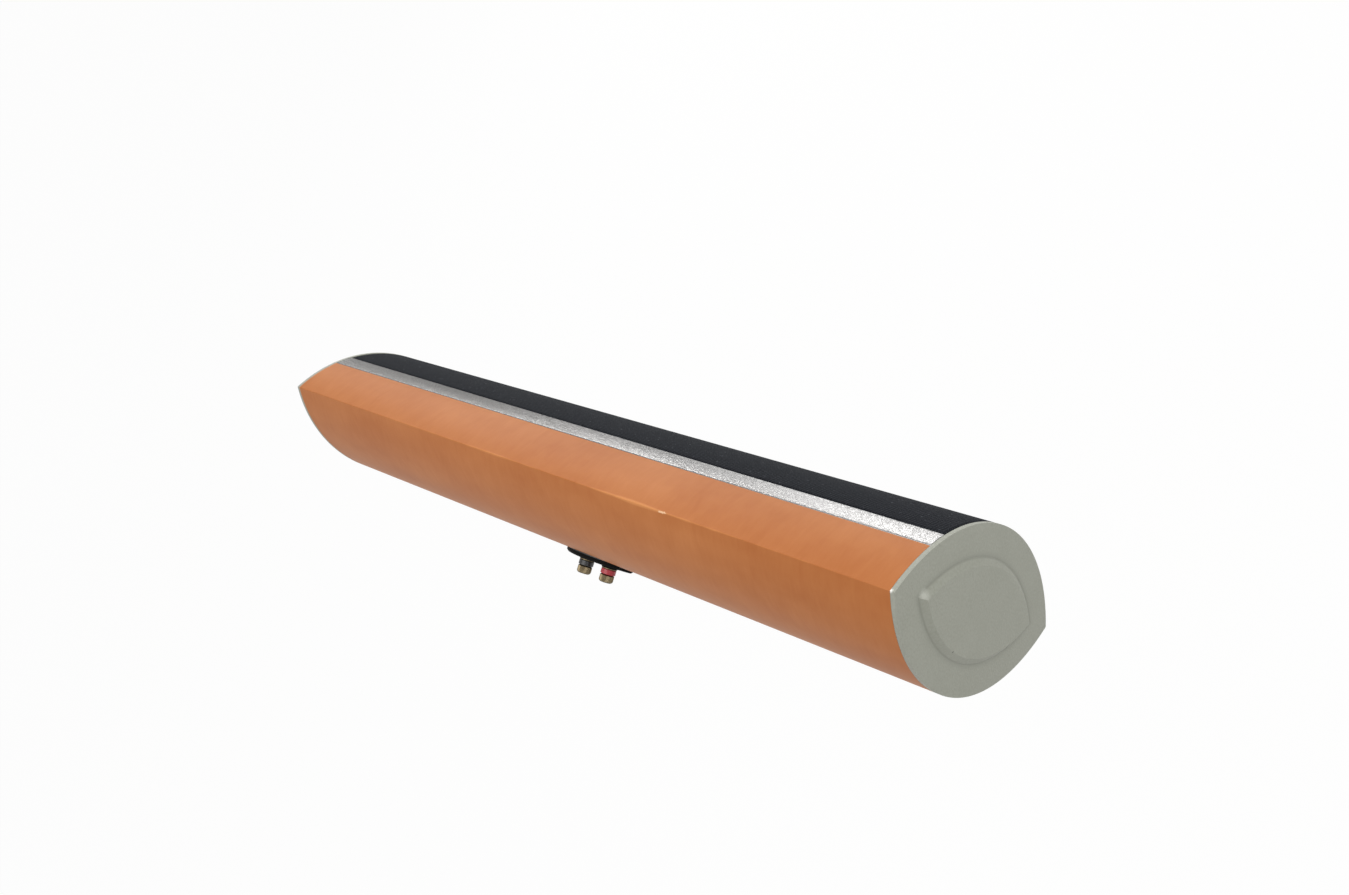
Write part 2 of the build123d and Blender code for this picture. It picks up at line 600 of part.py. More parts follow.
def tweeter():
    """All pieces of the tweeter between the woofers."""
    hub = FACEPLATE_THICKNESS + HUB_HEIGHT
    throat = DOME_RADIUS + DOME_RIM + SLIDING_GAP
    rim = hub - SLIDING_GAP - SHEET_THICKNESS
    coil_inner = DOME_RADIUS - DOME_COIL_THICKNESS
    plate_back = hub + TWEETER_PLATE_THICKNESS
    magnet_back = plate_back + TWEETER_MAGNET_THICKNESS
    yoke_back = magnet_back + YOKE_THICKNESS
    faceplate = [
        (FACEPLATE_RADIUS, deep(0)),
        (FACEPLATE_RADIUS, deep(FACEPLATE_THICKNESS)),
        (HUB_RADIUS, deep(FACEPLATE_THICKNESS)),
        (HUB_RADIUS, deep(hub)),
        (throat, deep(hub)),
        (throat, deep(rim - SHEET_THICKNESS)),
        (HORN_RADIUS, deep(0)),
    ]
    yoke = [
        (VENT_RADIUS, deep(hub)),
        (coil_inner - MAGNET_GAP, deep(hub)),
        (coil_inner - MAGNET_GAP, deep(magnet_back)),
        (TWEETER_PLATE_RADIUS, deep(magnet_back)),
        (TWEETER_PLATE_RADIUS, deep(yoke_back)),
        (VENT_RADIUS, deep(yoke_back)),
    ]
    rim_span = (deep(rim), deep(rim + SHEET_THICKNESS))
    skin = dome(DOME_RADIUS, deep(rim + SHEET_THICKNESS), DOME_HEIGHT, SHEET_THICKNESS)
    flange = tube(DOME_RADIUS - SHEET_THICKNESS, DOME_RADIUS + DOME_RIM, rim_span)
    coil_front = deep(rim + SHEET_THICKNESS)
    plate_span = (deep(hub), deep(plate_back))
    magnet_span = (deep(plate_back), deep(magnet_back))
    return {
        "tweeter_faceplate": turned(faceplate) - FRONT_SCREWS,
        "tweeter_dome": skin + flange,
        "tweeter_coil": tube(coil_inner, DOME_RADIUS, (coil_front, coil_front + DOME_COIL_LENGTH)),
        "tweeter_top_plate": tube(DOME_RADIUS + MAGNET_GAP, TWEETER_PLATE_RADIUS, plate_span),
        "tweeter_magnet": tube(TWEETER_MAGNET_HOLE, TWEETER_MAGNET_RADIUS, magnet_span),
        "tweeter_yoke": turned(yoke),
    }


def plate_block(gap, y):
    """A slab with the terminal plate's lens outline, made larger all round by a gap."""
    low, high = y
    half_x, half_z = PLATE_LENGTH / 2, PLATE_HEIGHT / 2
    upper = ThreePointArc((-half_x, 0), (0, half_z), (half_x, 0))
    lower = ThreePointArc((half_x, 0), (0, -half_z), (-half_x, 0))
    outline = make_face([upper, lower])
    outline = fillet(outline.vertices(), PLATE_CORNER)
    if gap:
        outline = offset(outline, amount=gap)
    return extrude(Plane.XZ.offset(-low) * outline, amount=high - low, dir=(0, 1, 0))


def terminal_plate():
    plate = plate_block(0, (PLATE_BACK, PLATE_PROUD))
    plate = chamfer(plate.faces().sort_by(Axis.Y)[-1].edges(), PLATE_BEVEL)
    plate -= [rod(BUSH_NECK_RADIUS, (PLATE_BACK, PLATE_PROUD), x) for x in POSTS.values()]
    return plate - PLATE_SCREWS


def terminal_gasket():
    gasket = plate_block(0, (-SEAT_DEPTH, PLATE_BACK))
    half_x, half_z = CUTOUT_LENGTH / 2, CUTOUT_HEIGHT / 2
    gasket -= block((-half_x, half_x), (-SEAT_DEPTH, PLATE_BACK), (-half_z, half_z))
    return gasket - PLATE_SCREWS


def post_bush(x):
    """The insulating collar that carries a stud through the plate."""
    outline = [
        (STUD_RADIUS, PLATE_BACK),
        (BUSH_NECK_RADIUS, PLATE_BACK),
        (BUSH_NECK_RADIUS, PLATE_PROUD),
        (BUSH_RADIUS, PLATE_PROUD),
        (BUSH_RADIUS, BUSH_TOP),
        (STUD_RADIUS, BUSH_TOP),
    ]
    return turned(outline, x)


def post_stud(x):
    """The fixed stud, bored for a plug, with a cross hole for bare wire under the knob."""
    stud = rod(STUD_RADIUS, (-STUD_INNER_LENGTH, STUD_TOP), x)
    stud -= rod(PLUG_RADIUS, (STUD_TOP - PLUG_DEPTH, STUD_TOP), x)
    wire_y = KNOB_BACK + WIRE_HOLE_RADIUS
    return stud - Pos(x, wire_y, 0) * Cylinder(WIRE_HOLE_RADIUS, 3 * STUD_RADIUS)


def post_washer(x):
    return tube(THREAD_BORE, WASHER_RADIUS, (WASHER_BACK, WASHER_BACK + WASHER_THICKNESS), x)


def post_ring(x):
    return tube(KNOB_SPIGOT_RADIUS, RING_RADIUS, (KNOB_BACK, RING_TOP), x)


def post_knob(x):
    """The gold knob: a knurled barrel over a smooth spigot that carries the coloured ring."""
    steps = 2 * KNURLS
    radii = [KNOB_RADIUS - KNURL_DEPTH * (i % 2) for i in range(steps)]
    star = [(r * cos(pi * i / KNURLS), r * sin(pi * i / KNURLS)) for i, r in enumerate(radii)]
    section = Plane.XZ.offset(-RING_TOP) * make_face(Polyline(*star, close=True))
    barrel = extrude(section, amount=KNOB_TOP - RING_TOP, dir=(0, 1, 0))
    bevelled = [
        (0, RING_TOP),
        (KNOB_RADIUS - KNOB_BEVEL, RING_TOP),
        (KNOB_RADIUS, RING_TOP + KNOB_BEVEL),
        (KNOB_RADIUS, KNOB_TOP - KNOB_BEVEL),
        (KNOB_RADIUS - KNOB_BEVEL, KNOB_TOP),
        (0, KNOB_TOP),
    ]
    barrel &= turned(bevelled)
    barrel += rod(KNOB_SPIGOT_RADIUS, (KNOB_BACK, RING_TOP))
    return Pos(x, 0, 0) * (barrel - rod(THREAD_BORE, (KNOB_BACK, KNOB_TOP)))


def post_nuts():
    """Two hexagon nuts on the inner end of each stud, one before and one behind the solder tag."""
    nuts = []
    for x in POSTS.values():
        for front in (PLATE_BACK, TAG_BACK - SOLDER_TAG_THICKNESS):
            hexagon = Plane.XZ.offset(-front + NUT_THICKNESS) * RegularPolygon(NUT_RADIUS, 6)
            nut = extrude(hexagon, amount=NUT_THICKNESS, dir=(0, 1, 0))
            nuts.append(Pos(x, 0, 0) * nut - rod(STUD_RADIUS, (front - NUT_THICKNESS, front), x))
    return Part() + nuts


def solder_tags():
    span = (TAG_BACK - SOLDER_TAG_THICKNESS, TAG_BACK)
    tags = []
    for x in POSTS.values():
        tag = rod(NUT_RADIUS, span, x)
        tongue = (-SOLDER_TAG_WIDTH / 2, SOLDER_TAG_WIDTH / 2)
        outer = x + NUT_RADIUS * (1 if x > 0 else -1)
        end = outer + (SOLDER_TAG_LENGTH - NUT_RADIUS) * (1 if x > 0 else -1)
        tag += block(sorted((x, end)), span, tongue)
        tags.append(tag - rod(STUD_RADIUS, span, x))
    return Part() + tags


def wall_inserts():
    span = (-INSERT_LENGTH, 0)
    return Part() + [tube(INSERT_BORE_RADIUS, INSERT_RADIUS, span, x) for x in INSERT_PLACES]


def board_screw_places():
    edge = BOARD_LENGTH / 2 - CLEAT_WIDTH / 2
    return [(BOARD_X + i * edge, j * CLEAT_Z) for i in (-1, 1) for j in (-1, 1)]


BOARD_SCREWS = [screw(BOARD_FRONT, BOARD_SCREW_LENGTH, x, z) for x, z in board_screw_places()]


def crossover_board():
    x = (BOARD_X - BOARD_LENGTH / 2, BOARD_X + BOARD_LENGTH / 2)
    board = block(x, (BOARD_FRONT, BOARD_Y), (-BOARD_HEIGHT / 2, BOARD_HEIGHT / 2))
    return board - BOARD_SCREWS


def board_cleats():
    """Two battens glued to the curved back wall, which carry the board."""
    x = (BOARD_X - BOARD_LENGTH / 2, BOARD_X + BOARD_LENGTH / 2)
    inside = lens_bar(WALL + FIT / 2, *x)
    cleats = []
    for sign in (-1, 1):
        z = (sign * CLEAT_Z - CLEAT_WIDTH / 2, sign * CLEAT_Z + CLEAT_WIDTH / 2)
        cleats.append((block(x, (BOARD_Y, 0), z) & inside) - BOARD_SCREWS)
    return Part() + cleats


def crossover_inductor():
    """A wound spool: two cheeks with the winding between them."""
    y = (BOARD_FRONT - INDUCTOR_HEIGHT, BOARD_FRONT)
    winding = INDUCTOR_RADIUS - INDUCTOR_CHEEK
    outline = [
        (INDUCTOR_CORE_RADIUS, y[0]),
        (INDUCTOR_RADIUS, y[0]),
        (INDUCTOR_RADIUS, y[0] + INDUCTOR_CHEEK),
        (winding, y[0] + INDUCTOR_CHEEK),
        (winding, y[1] - INDUCTOR_CHEEK),
        (INDUCTOR_RADIUS, y[1] - INDUCTOR_CHEEK),
        (INDUCTOR_RADIUS, y[1]),
        (INDUCTOR_CORE_RADIUS, y[1]),
    ]
    return turned(outline, BOARD_X, INDUCTOR_Z)


def crossover_capacitors():
    """Two film capacitors that lie on the board."""
    body = Cylinder(CAPACITOR_RADIUS, CAPACITOR_LENGTH, rotation=(0, 90, 0))
    body = chamfer(body.edges().filter_by(GeomType.CIRCLE), CAPACITOR_RADIUS / 6)
    y = BOARD_FRONT - CAPACITOR_RADIUS
    places = [CAPACITOR_Z + CAPACITOR_PITCH / 2, CAPACITOR_Z - CAPACITOR_PITCH / 2]
    return Part() + [Pos(BOARD_X, y, z) * body for z in places]


def crossover_resistor():
    length, height, depth = RESISTOR_SIZE
    body = Pos(BOARD_X, BOARD_FRONT - depth / 2, RESISTOR_Z) * Box(length, depth, height)
    return chamfer(body.edges().filter_by(Axis.X), depth / 8)


def lead(points):
    """A round lead along straight runs joined by arcs."""
    path = FilletPolyline(*points, radius=LEAD_BEND)
    section = Plane(origin=path @ 0, z_dir=path % 0) * Circle(LEAD_RADIUS)
    return sweep(section, path=path)


def onto_board(x, y, z):
    """The last two points of a lead that comes down on the front of the board."""
    return [(x, y, z), (x, BOARD_FRONT, z)]


def hookup_leads():
    """Leads from the posts to the board, and from the board to the three drivers."""
    tag_y = TAG_BACK - SOLDER_TAG_THICKNESS
    tag_x = (POST_PITCH + SOLDER_TAG_LENGTH + NUT_RADIUS) / 2
    inner_row = BOARD_X - BOARD_LENGTH / 2 + LEAD_EDGE
    outer_row = BOARD_X + BOARD_LENGTH / 2 - LEAD_EDGE
    basket_x = WOOFER_X - BASKET_TOP_RADIUS
    behind_baffle = BAFFLE_BACK + FIT + LEAD_RADIUS
    basket_y = max(deep(SPIDER_DEPTH - BASKET_WALL - TAG_HEIGHT / 2), behind_baffle)
    yoke_back = FACEPLATE_THICKNESS + HUB_HEIGHT + TWEETER_PLATE_THICKNESS
    yoke_y = deep(yoke_back + TWEETER_MAGNET_THICKNESS + YOKE_THICKNESS)
    black_y = BOARD_FRONT - LEAD_BEND - LEAD_RADIUS
    red_y = black_y - LEAD_BEND
    row_y = yoke_y + 2 * LEAD_BEND
    turn_x = basket_x - 4 * LEAD_BEND
    turn_z = CAPACITOR_Z - LEAD_BEND
    pole_z = 2 * VENT_RADIUS
    routes = [
        [(-tag_x, tag_y, 0), (-tag_x, red_y, 0), *onto_board(inner_row, red_y, LEAD_BEND)],
        [(tag_x, tag_y, 0), (tag_x, black_y, 0), *onto_board(inner_row, black_y, -LEAD_BEND)],
        [(0, yoke_y, pole_z), (0, row_y, pole_z), *onto_board(inner_row, row_y, INDUCTOR_Z)],
        [(basket_x, basket_y, 0), *onto_board(outer_row, basket_y, 0)],
        [
            (-basket_x, basket_y, 0),
            (-turn_x, basket_y, 0),
            (-turn_x, row_y, turn_z),
            *onto_board(inner_row, row_y, turn_z),
        ],
    ]
    return Part() + [lead(points) for points in routes]


def damping_mats():
    """Felt on the back wall, between each end panel and the woofer beside it."""
    start = WOOFER_X + FLANGE_RADIUS + MAT_GAP
    end = END_PANEL_FACE - END_PANEL_THICKNESS - FIT
    skin = WALL + FIT
    mat = lens_bar(skin, start, end) - lens_bar(skin + MAT_THICKNESS, start, end)
    mat &= block((start, end), (MID_Y, 0), (-MAT_HALF_HEIGHT, MAT_HALF_HEIGHT))
    return mat + mirror(mat, about=Plane.YZ)


def build():
    """Every node of the speaker by its name."""
    nodes = {
        "cabinet_shell": cabinet_shell(),
        "front_baffle": front_baffle(),
        "grille_frame": grille_frame(),
        "grille_cloth": grille_cloth(),
        "grille_sockets": grille_sockets(),
        "trim_strip_upper": trim_strip(1),
        "trim_strip_lower": trim_strip(-1),
        "woofer_gaskets": woofer_gaskets(),
        "front_screws": Part() + FRONT_SCREWS,
        "terminal_plate": terminal_plate(),
        "terminal_gasket": terminal_gasket(),
        "terminal_screws": Part() + PLATE_SCREWS,
        "post_bushes": Part() + [post_bush(x) for x in POSTS.values()],
        "post_nuts": post_nuts(),
        "solder_tags": solder_tags(),
        "wall_inserts": wall_inserts(),
        "crossover_board": crossover_board(),
        "board_cleats": board_cleats(),
        "board_screws": Part() + BOARD_SCREWS,
        "crossover_inductor": crossover_inductor(),
        "crossover_capacitors": crossover_capacitors(),
        "crossover_resistor": crossover_resistor(),
        "hookup_leads": hookup_leads(),
        "damping_mats": damping_mats(),
    }
    for side, sign in SIDES.items():
        nodes[f"end_panel_{side}"] = end_panel(sign)
        nodes[f"end_cap_{side}"] = end_cap(sign)
        nodes.update(woofer(side, sign))
    nodes.update(tweeter())
    for colour, x in POSTS.items():
        nodes[f"post_stud_{colour}"] = post_stud(x)
        nodes[f"post_washer_{colour}"] = post_washer(x)
        nodes[f"post_ring_{colour}"] = post_ring(x)
        nodes[f"post_knob_{colour}"] = post_knob(x)
    return nodes


os.makedirs("parts", exist_ok=True)
for name, shape in build().items():
    shape.label = name
    export_step(shape, f"parts/{name}.step")
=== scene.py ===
# %% [markdown]
# # A speaker bar in cherry veneer
#
# The bar is a passive speaker with a lens-shaped section: a wooden shell, moulded grey end caps, silver
# strips and a black cloth grille. The engineering model gives every piece its place. Here the pieces that
# carry the look are modelled again with clean edges, and the others get their materials.
#
# X runs along the bar, the grille faces -Y, Z is up and lengths are in metres.

# %% Start
import json
import math

import bmesh
import bpy
from mathutils import Matrix, Vector
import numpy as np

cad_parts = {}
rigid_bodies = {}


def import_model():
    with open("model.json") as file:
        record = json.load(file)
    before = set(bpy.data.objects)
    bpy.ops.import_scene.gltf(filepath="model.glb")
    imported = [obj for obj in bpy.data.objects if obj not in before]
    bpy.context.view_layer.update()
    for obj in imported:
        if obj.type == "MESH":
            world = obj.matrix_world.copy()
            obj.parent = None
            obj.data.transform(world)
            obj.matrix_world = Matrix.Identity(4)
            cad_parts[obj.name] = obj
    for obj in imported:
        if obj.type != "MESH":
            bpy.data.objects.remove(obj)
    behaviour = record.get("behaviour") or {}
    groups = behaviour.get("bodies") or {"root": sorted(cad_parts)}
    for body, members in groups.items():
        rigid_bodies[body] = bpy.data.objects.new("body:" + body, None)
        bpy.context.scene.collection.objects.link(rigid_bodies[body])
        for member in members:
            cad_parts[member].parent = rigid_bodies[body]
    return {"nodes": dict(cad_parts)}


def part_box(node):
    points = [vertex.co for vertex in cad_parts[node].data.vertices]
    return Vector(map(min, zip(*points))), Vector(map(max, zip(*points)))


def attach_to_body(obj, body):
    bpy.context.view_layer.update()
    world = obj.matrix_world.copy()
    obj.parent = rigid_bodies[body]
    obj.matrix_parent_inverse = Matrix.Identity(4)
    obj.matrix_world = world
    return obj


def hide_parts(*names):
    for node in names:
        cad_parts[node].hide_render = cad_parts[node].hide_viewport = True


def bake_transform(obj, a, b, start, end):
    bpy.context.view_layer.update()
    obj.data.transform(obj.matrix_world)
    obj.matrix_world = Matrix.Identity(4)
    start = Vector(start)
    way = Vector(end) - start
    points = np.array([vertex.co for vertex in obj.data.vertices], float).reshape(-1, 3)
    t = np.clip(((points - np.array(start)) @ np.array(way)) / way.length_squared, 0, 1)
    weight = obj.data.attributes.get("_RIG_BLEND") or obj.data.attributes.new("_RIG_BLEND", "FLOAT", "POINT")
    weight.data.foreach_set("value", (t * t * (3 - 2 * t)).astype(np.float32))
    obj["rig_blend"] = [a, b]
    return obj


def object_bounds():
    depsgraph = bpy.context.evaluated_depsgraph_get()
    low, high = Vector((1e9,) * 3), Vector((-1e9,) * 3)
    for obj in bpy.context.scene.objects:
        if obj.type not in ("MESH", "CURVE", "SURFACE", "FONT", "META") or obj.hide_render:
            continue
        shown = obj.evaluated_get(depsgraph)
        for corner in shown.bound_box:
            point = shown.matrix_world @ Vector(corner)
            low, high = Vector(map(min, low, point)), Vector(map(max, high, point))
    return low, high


MM = 0.001

bpy.ops.object.select_all(action="SELECT")
bpy.ops.object.delete()
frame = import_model()
cad_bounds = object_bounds()
bpy.ops.object.select_all(action="DESELECT")
print("nodes loaded:", len(frame["nodes"]))

# %% [markdown]
# ## Camera
#
# The picture is taken from the left end of the bar, along it and a little from above the ridge. A camera
# can be turned by angles, or by giving its three axes directly. The axes are used because they were fitted
# to the photo, where the straight edges of the bar and the outlines of its ends fix them. A camera looks
# along its own -Z.

# %% Camera
CAMERA_PLACE = Vector((-0.49445, -0.06616, 0.52851))
CAMERA_RIGHT = Vector((-0.72113, -0.29155, -0.62846))
CAMERA_UP = Vector((0.21154, -0.95648, 0.20099))
CAMERA_LENS = 32.8
CAMERA_SENSOR = 36
NEAREST_SEEN = 10 * MM

bpy.ops.object.camera_add()
camera = bpy.context.object
camera.name = "photo_camera"
camera.data.lens = CAMERA_LENS
camera.data.sensor_width = CAMERA_SENSOR
camera.data.clip_start = NEAREST_SEEN
camera_back = CAMERA_RIGHT.cross(CAMERA_UP).normalized()
turned = Matrix((CAMERA_RIGHT, CAMERA_UP, camera_back)).transposed().to_4x4()
camera.matrix_world = Matrix.Translation(CAMERA_PLACE) @ turned
bpy.context.scene.camera = camera
bpy.context.scene.view_settings.view_transform = "Standard"
print("camera", tuple(round(v, 3) for v in camera.location))

# %% [markdown]
# ## Node helper
#
# Materials are node trees. One function adds a node, sets its options and fills its inputs. An input that
# is given a socket is linked to it, one that is given a node is linked to that node's first output, and any
# other value is written into the input. Colours are written as the sRGB hex of a colour picker and turned
# into the linear values that the shaders work with.

# %% Node helper
def feed(tree, node, inputs):
    for key, value in inputs.items():
        if isinstance(value, bpy.types.Node):
            value = value.outputs[0]
        if isinstance(value, bpy.types.NodeSocket):
            tree.links.new(value, node.inputs[key])
        else:
            node.inputs[key].default_value = value


def add(tree, kind, inputs=None, **options):
    node = tree.nodes.new("ShaderNode" + kind)
    for key, value in options.items():
        setattr(node, key, value)
    feed(tree, node, inputs or {})
    return node


def colour(code):
    # the sRGB standard: a straight foot for the darkest tones, then a power curve
    parts = [int(code[i : i + 2], 16) / 255 for i in (1, 3, 5)]
    linear = [c / 12.92 if c <= 0.04045 else ((c + 0.055) / 1.055) ** 2.4 for c in parts]
    return (*linear, 1.0)


def new_material(name):
    material = bpy.data.materials.new(name)
    material.use_nodes = True
    tree = material.node_tree
    return material, tree, tree.nodes["Principled BSDF"]


# %% [markdown]
# ## Floor and light
#
# The picture has a white ground. A white world and a pale floor give it: rays that come straight from the
# camera, or by way of a shiny or clear surface, see white, while the floor still takes the object's shadow.
# The light is soft, an even world and five softboxes. One large box could do for all, but each side of the
# bar has its own brightness. The box above models the edges, the one on the left lights the wood below the
# ridge and the one in front lights the cap. The two at the back are mirrored: one makes the near end of the
# silver strip glitter, the other lies on the lacquer as a sheen. The far end of the strip stays grey,
# because it mirrors a grey card that only reflections can see.

# %% White ground
FLOOR_DEPTH = 0.45
FLOOR_SIZE = 14.0
FLOOR_WHITE = 0.96


def rays_that_see_white(tree):
    path = add(tree, "LightPath")
    seen = path.outputs["Is Camera Ray"]
    for kind in ("Is Glossy Ray", "Is Transmission Ray"):
        seen = add(tree, "Math", {0: seen, 1: path.outputs[kind]}, operation="MAXIMUM")
    return seen


bpy.ops.mesh.primitive_plane_add(size=FLOOR_SIZE, location=(0, 0, cad_bounds[0].z - FLOOR_DEPTH))
floor = bpy.context.object
floor.name = "studio_floor"
# matt paint: pale and even, so that a shadow shows on it
floor_paint, tree, shader = new_material("pale_floor_paint")
feed(tree, shader, {"Base Color": colour("#E6E6E4"), "Roughness": 0.8})
glow = add(tree, "Emission", {"Strength": 1.0})
white = add(tree, "Math", {0: rays_that_see_white(tree), 1: FLOOR_WHITE}, operation="MULTIPLY")
ground = add(tree, "MixShader", {0: white, 1: shader, 2: glow})
feed(tree, tree.nodes["Material Output"], {"Surface": ground})
floor.data.materials.append(floor_paint)
print(floor.name, FLOOR_SIZE, "m wide")

# %% White world
ROOM_LIGHT = 0.5

world = bpy.data.worlds.new("studio_world")
bpy.context.scene.world = world
world.use_nodes = True
tree = world.node_tree
room = tree.nodes["Background"]
feed(tree, room, {"Color": colour("#FFFDFA"), "Strength": ROOM_LIGHT})
backdrop = add(tree, "Background", {"Color": colour("#FFFFFF"), "Strength": 1.0})
sky = add(tree, "MixShader", {0: rays_that_see_white(tree), 1: room, 2: backdrop})
feed(tree, tree.nodes["World Output"], {"Surface": sky})
print(world.name, len(tree.nodes), "nodes")

# %% Softboxes
# The bar lies on its back in the picture, so these directions aren't its own axes.
PHOTO_UP = Vector((0.0, -0.907, 0.421))
PHOTO_BACK = Vector((0.693, -0.304, -0.654))
PHOTO_RIGHT = PHOTO_BACK.cross(PHOTO_UP)
SIDEWAYS = 0.5
middle = Vector((0.0, cad_bounds[0].y / 2, 0.0))


def toward(right, up, back):
    return (PHOTO_RIGHT * right + PHOTO_UP * up + PHOTO_BACK * back).normalized()


def softbox(name, facing, distance, width, height, watts):
    place = middle + facing * distance
    bpy.ops.object.light_add(type="AREA", location=place)
    lamp = bpy.context.object
    lamp.name = name
    # a box that faces sideways is levelled by the other direction
    side = PHOTO_RIGHT if abs(facing.dot(PHOTO_RIGHT)) < SIDEWAYS else PHOTO_BACK
    rise = facing.cross(side).normalized()
    lamp.rotation_euler = Matrix((rise.cross(facing), rise, facing)).transposed().to_euler()
    lamp.data.shape = "RECTANGLE"
    lamp.data.size = width
    lamp.data.size_y = height
    lamp.data.energy = watts
    lamp.visible_camera = False
    print(name, [round(v, 2) for v in place])


above = toward(right=0, up=1, back=-0.1)
softbox("softbox_above", above, distance=1.4, width=1.0, height=1.0, watts=3.2)
behind = toward(right=0.28, up=0.98, back=1)
softbox("softbox_back", behind, distance=1.3, width=0.45, height=0.45, watts=2.8)
behind_left = toward(right=-0.48, up=1, back=1)
softbox("softbox_sheen", behind_left, distance=1.3, width=0.65, height=0.42, watts=4.2)
left = toward(right=-0.65, up=0.3, back=-0.65)
softbox("softbox_left", left, distance=0.8, width=0.7, height=0.7, watts=3.6)
in_front = toward(right=0.43, up=0.41, back=-0.81)
softbox("softbox_front", in_front, distance=1.1, width=0.6, height=0.6, watts=3.4)

# %% Grey card
CARD_WAY = Vector((0.81, -0.53, -0.245)).normalized()
CARD_DISTANCE = 1.2
CARD_SIZE = 0.5

card_turn = CARD_WAY.to_track_quat("Z", "Y").to_euler()
card_place = middle + CARD_WAY * CARD_DISTANCE
bpy.ops.mesh.primitive_plane_add(size=CARD_SIZE, location=card_place, rotation=card_turn)
card = bpy.context.object
card.name = "grey_card"
# card paper: matt and neutral, a plain tone for the strip to mirror
card_paper, tree, shader = new_material("grey_card_paper")
feed(tree, shader, {"Base Color": colour("#C4C4C3"), "Roughness": 0.9})
card.data.materials.append(card_paper)
card.visible_camera = False
card.visible_diffuse = False
card.visible_shadow = False
print("card", [round(v, 2) for v in card_place])

# %% [markdown]
# ## Drawing a section
#
# Most of this bar is a section pushed along X. A section can be an imported curve, or a line drawn in edit
# mode from one vertex: extrude the vertex for a straight piece, spin it for an arc. The line is drawn here
# because every point then comes from the size of the lens. A spin turns clockwise for a positive angle when
# seen from +X.

# %% The lens
LENS_TIP = cad_bounds[1].z
LENS_DEPTH = -cad_bounds[0].y
RIDGE_RADIUS = 0.5 * MM
MID_Y = -LENS_DEPTH / 2
ARC_RADIUS = (LENS_TIP**2 - 2 * LENS_TIP * RIDGE_RADIUS + MID_Y**2) / (LENS_DEPTH - 2 * RIDGE_RADIUS)
ARC_OFFSET = ARC_RADIUS - LENS_DEPTH / 2
LENS_CORNER = math.sqrt(ARC_RADIUS**2 - ARC_OFFSET**2)
FRONT_AXIS = Vector((0, MID_Y + ARC_OFFSET, 0))
REAR_AXIS = Vector((0, MID_Y - ARC_OFFSET, 0))


def front_at(z, inset=0.0):
    return FRONT_AXIS + Vector((0, -math.sqrt((ARC_RADIUS - inset) ** 2 - z**2), z))


def rear_at(z, inset=0.0):
    return REAR_AXIS + Vector((0, math.sqrt((ARC_RADIUS - inset) ** 2 - z**2), z))


print("arc of the lens", round(ARC_RADIUS / MM, 2), "mm")

# %% Drawing
ALONG = Vector((1, 0, 0))


def start_line(name, place):
    bpy.ops.object.select_all(action="DESELECT")
    bpy.ops.mesh.primitive_plane_add(size=MM)
    piece = bpy.context.object
    piece.name = piece.data.name = name
    bpy.ops.object.mode_set(mode="EDIT")
    bpy.ops.mesh.select_mode(type="VERT")
    bpy.ops.mesh.merge(type="CENTER")
    bpy.ops.transform.translate(value=place)
    return piece


def pen(piece):
    mesh = bmesh.from_edit_mesh(piece.data)
    return next(vertex.co.copy() for vertex in mesh.verts if vertex.select)


def line_to(piece, place):
    step = Vector(place) - pen(piece)
    bpy.ops.mesh.extrude_vertices_move(TRANSFORM_OT_translate={"value": step})


def arc_to(piece, place, axis, steps, along=ALONG):
    start, end = pen(piece) - axis, Vector(place) - axis
    turn = math.atan2(along.dot(start.cross(end)), start.dot(end))
    bpy.ops.mesh.spin(steps=steps, angle=-turn, center=axis, axis=along)


# %% Selecting and mending
TOUCHING = 0.01 * MM
MERGE = 0.002 * MM


def near(a, b, reach=TOUCHING):
    return abs(a - b) < reach


def pick(piece, wanted):
    bpy.ops.mesh.select_all(action="DESELECT")
    mesh = bmesh.from_edit_mesh(piece.data)
    for vertex in mesh.verts:
        vertex.select_set(wanted(vertex.co))
    mesh.select_flush(True)
    bmesh.update_edit_mesh(piece.data)


def merge_doubles():
    bpy.ops.mesh.select_all(action="SELECT")
    bpy.ops.mesh.remove_doubles(threshold=MERGE)


def mend_normals():
    merge_doubles()
    bpy.ops.mesh.normals_make_consistent(inside=False)


def push_along(piece, low_x, high_x, closed=True):
    bpy.ops.mesh.select_all(action="SELECT")
    bpy.ops.mesh.extrude_edges_move(TRANSFORM_OT_translate={"value": (high_x - low_x, 0, 0)})
    bpy.ops.mesh.select_all(action="SELECT")
    bpy.ops.transform.translate(value=(low_x, 0, 0))
    if closed:
        close_ends(piece, (low_x, high_x))
    mend_normals()


def close_ends(piece, ends):
    for x in ends:
        pick(piece, lambda place: near(place.x, x))
        bpy.ops.mesh.edge_face_add()


# %% Finishing
def choose(piece):
    bpy.ops.object.select_all(action="DESELECT")
    piece.select_set(True)
    bpy.context.view_layer.objects.active = piece


def apply_modifier(piece, kind, **options):
    choose(piece)
    modifier = piece.modifiers.new(kind.lower(), kind)
    for key, value in options.items():
        setattr(modifier, key, value)
    bpy.ops.object.modifier_apply(modifier=modifier.name)


def report(piece):
    print(piece.name, len(piece.data.vertices), "vertices", len(piece.data.polygons), "faces")
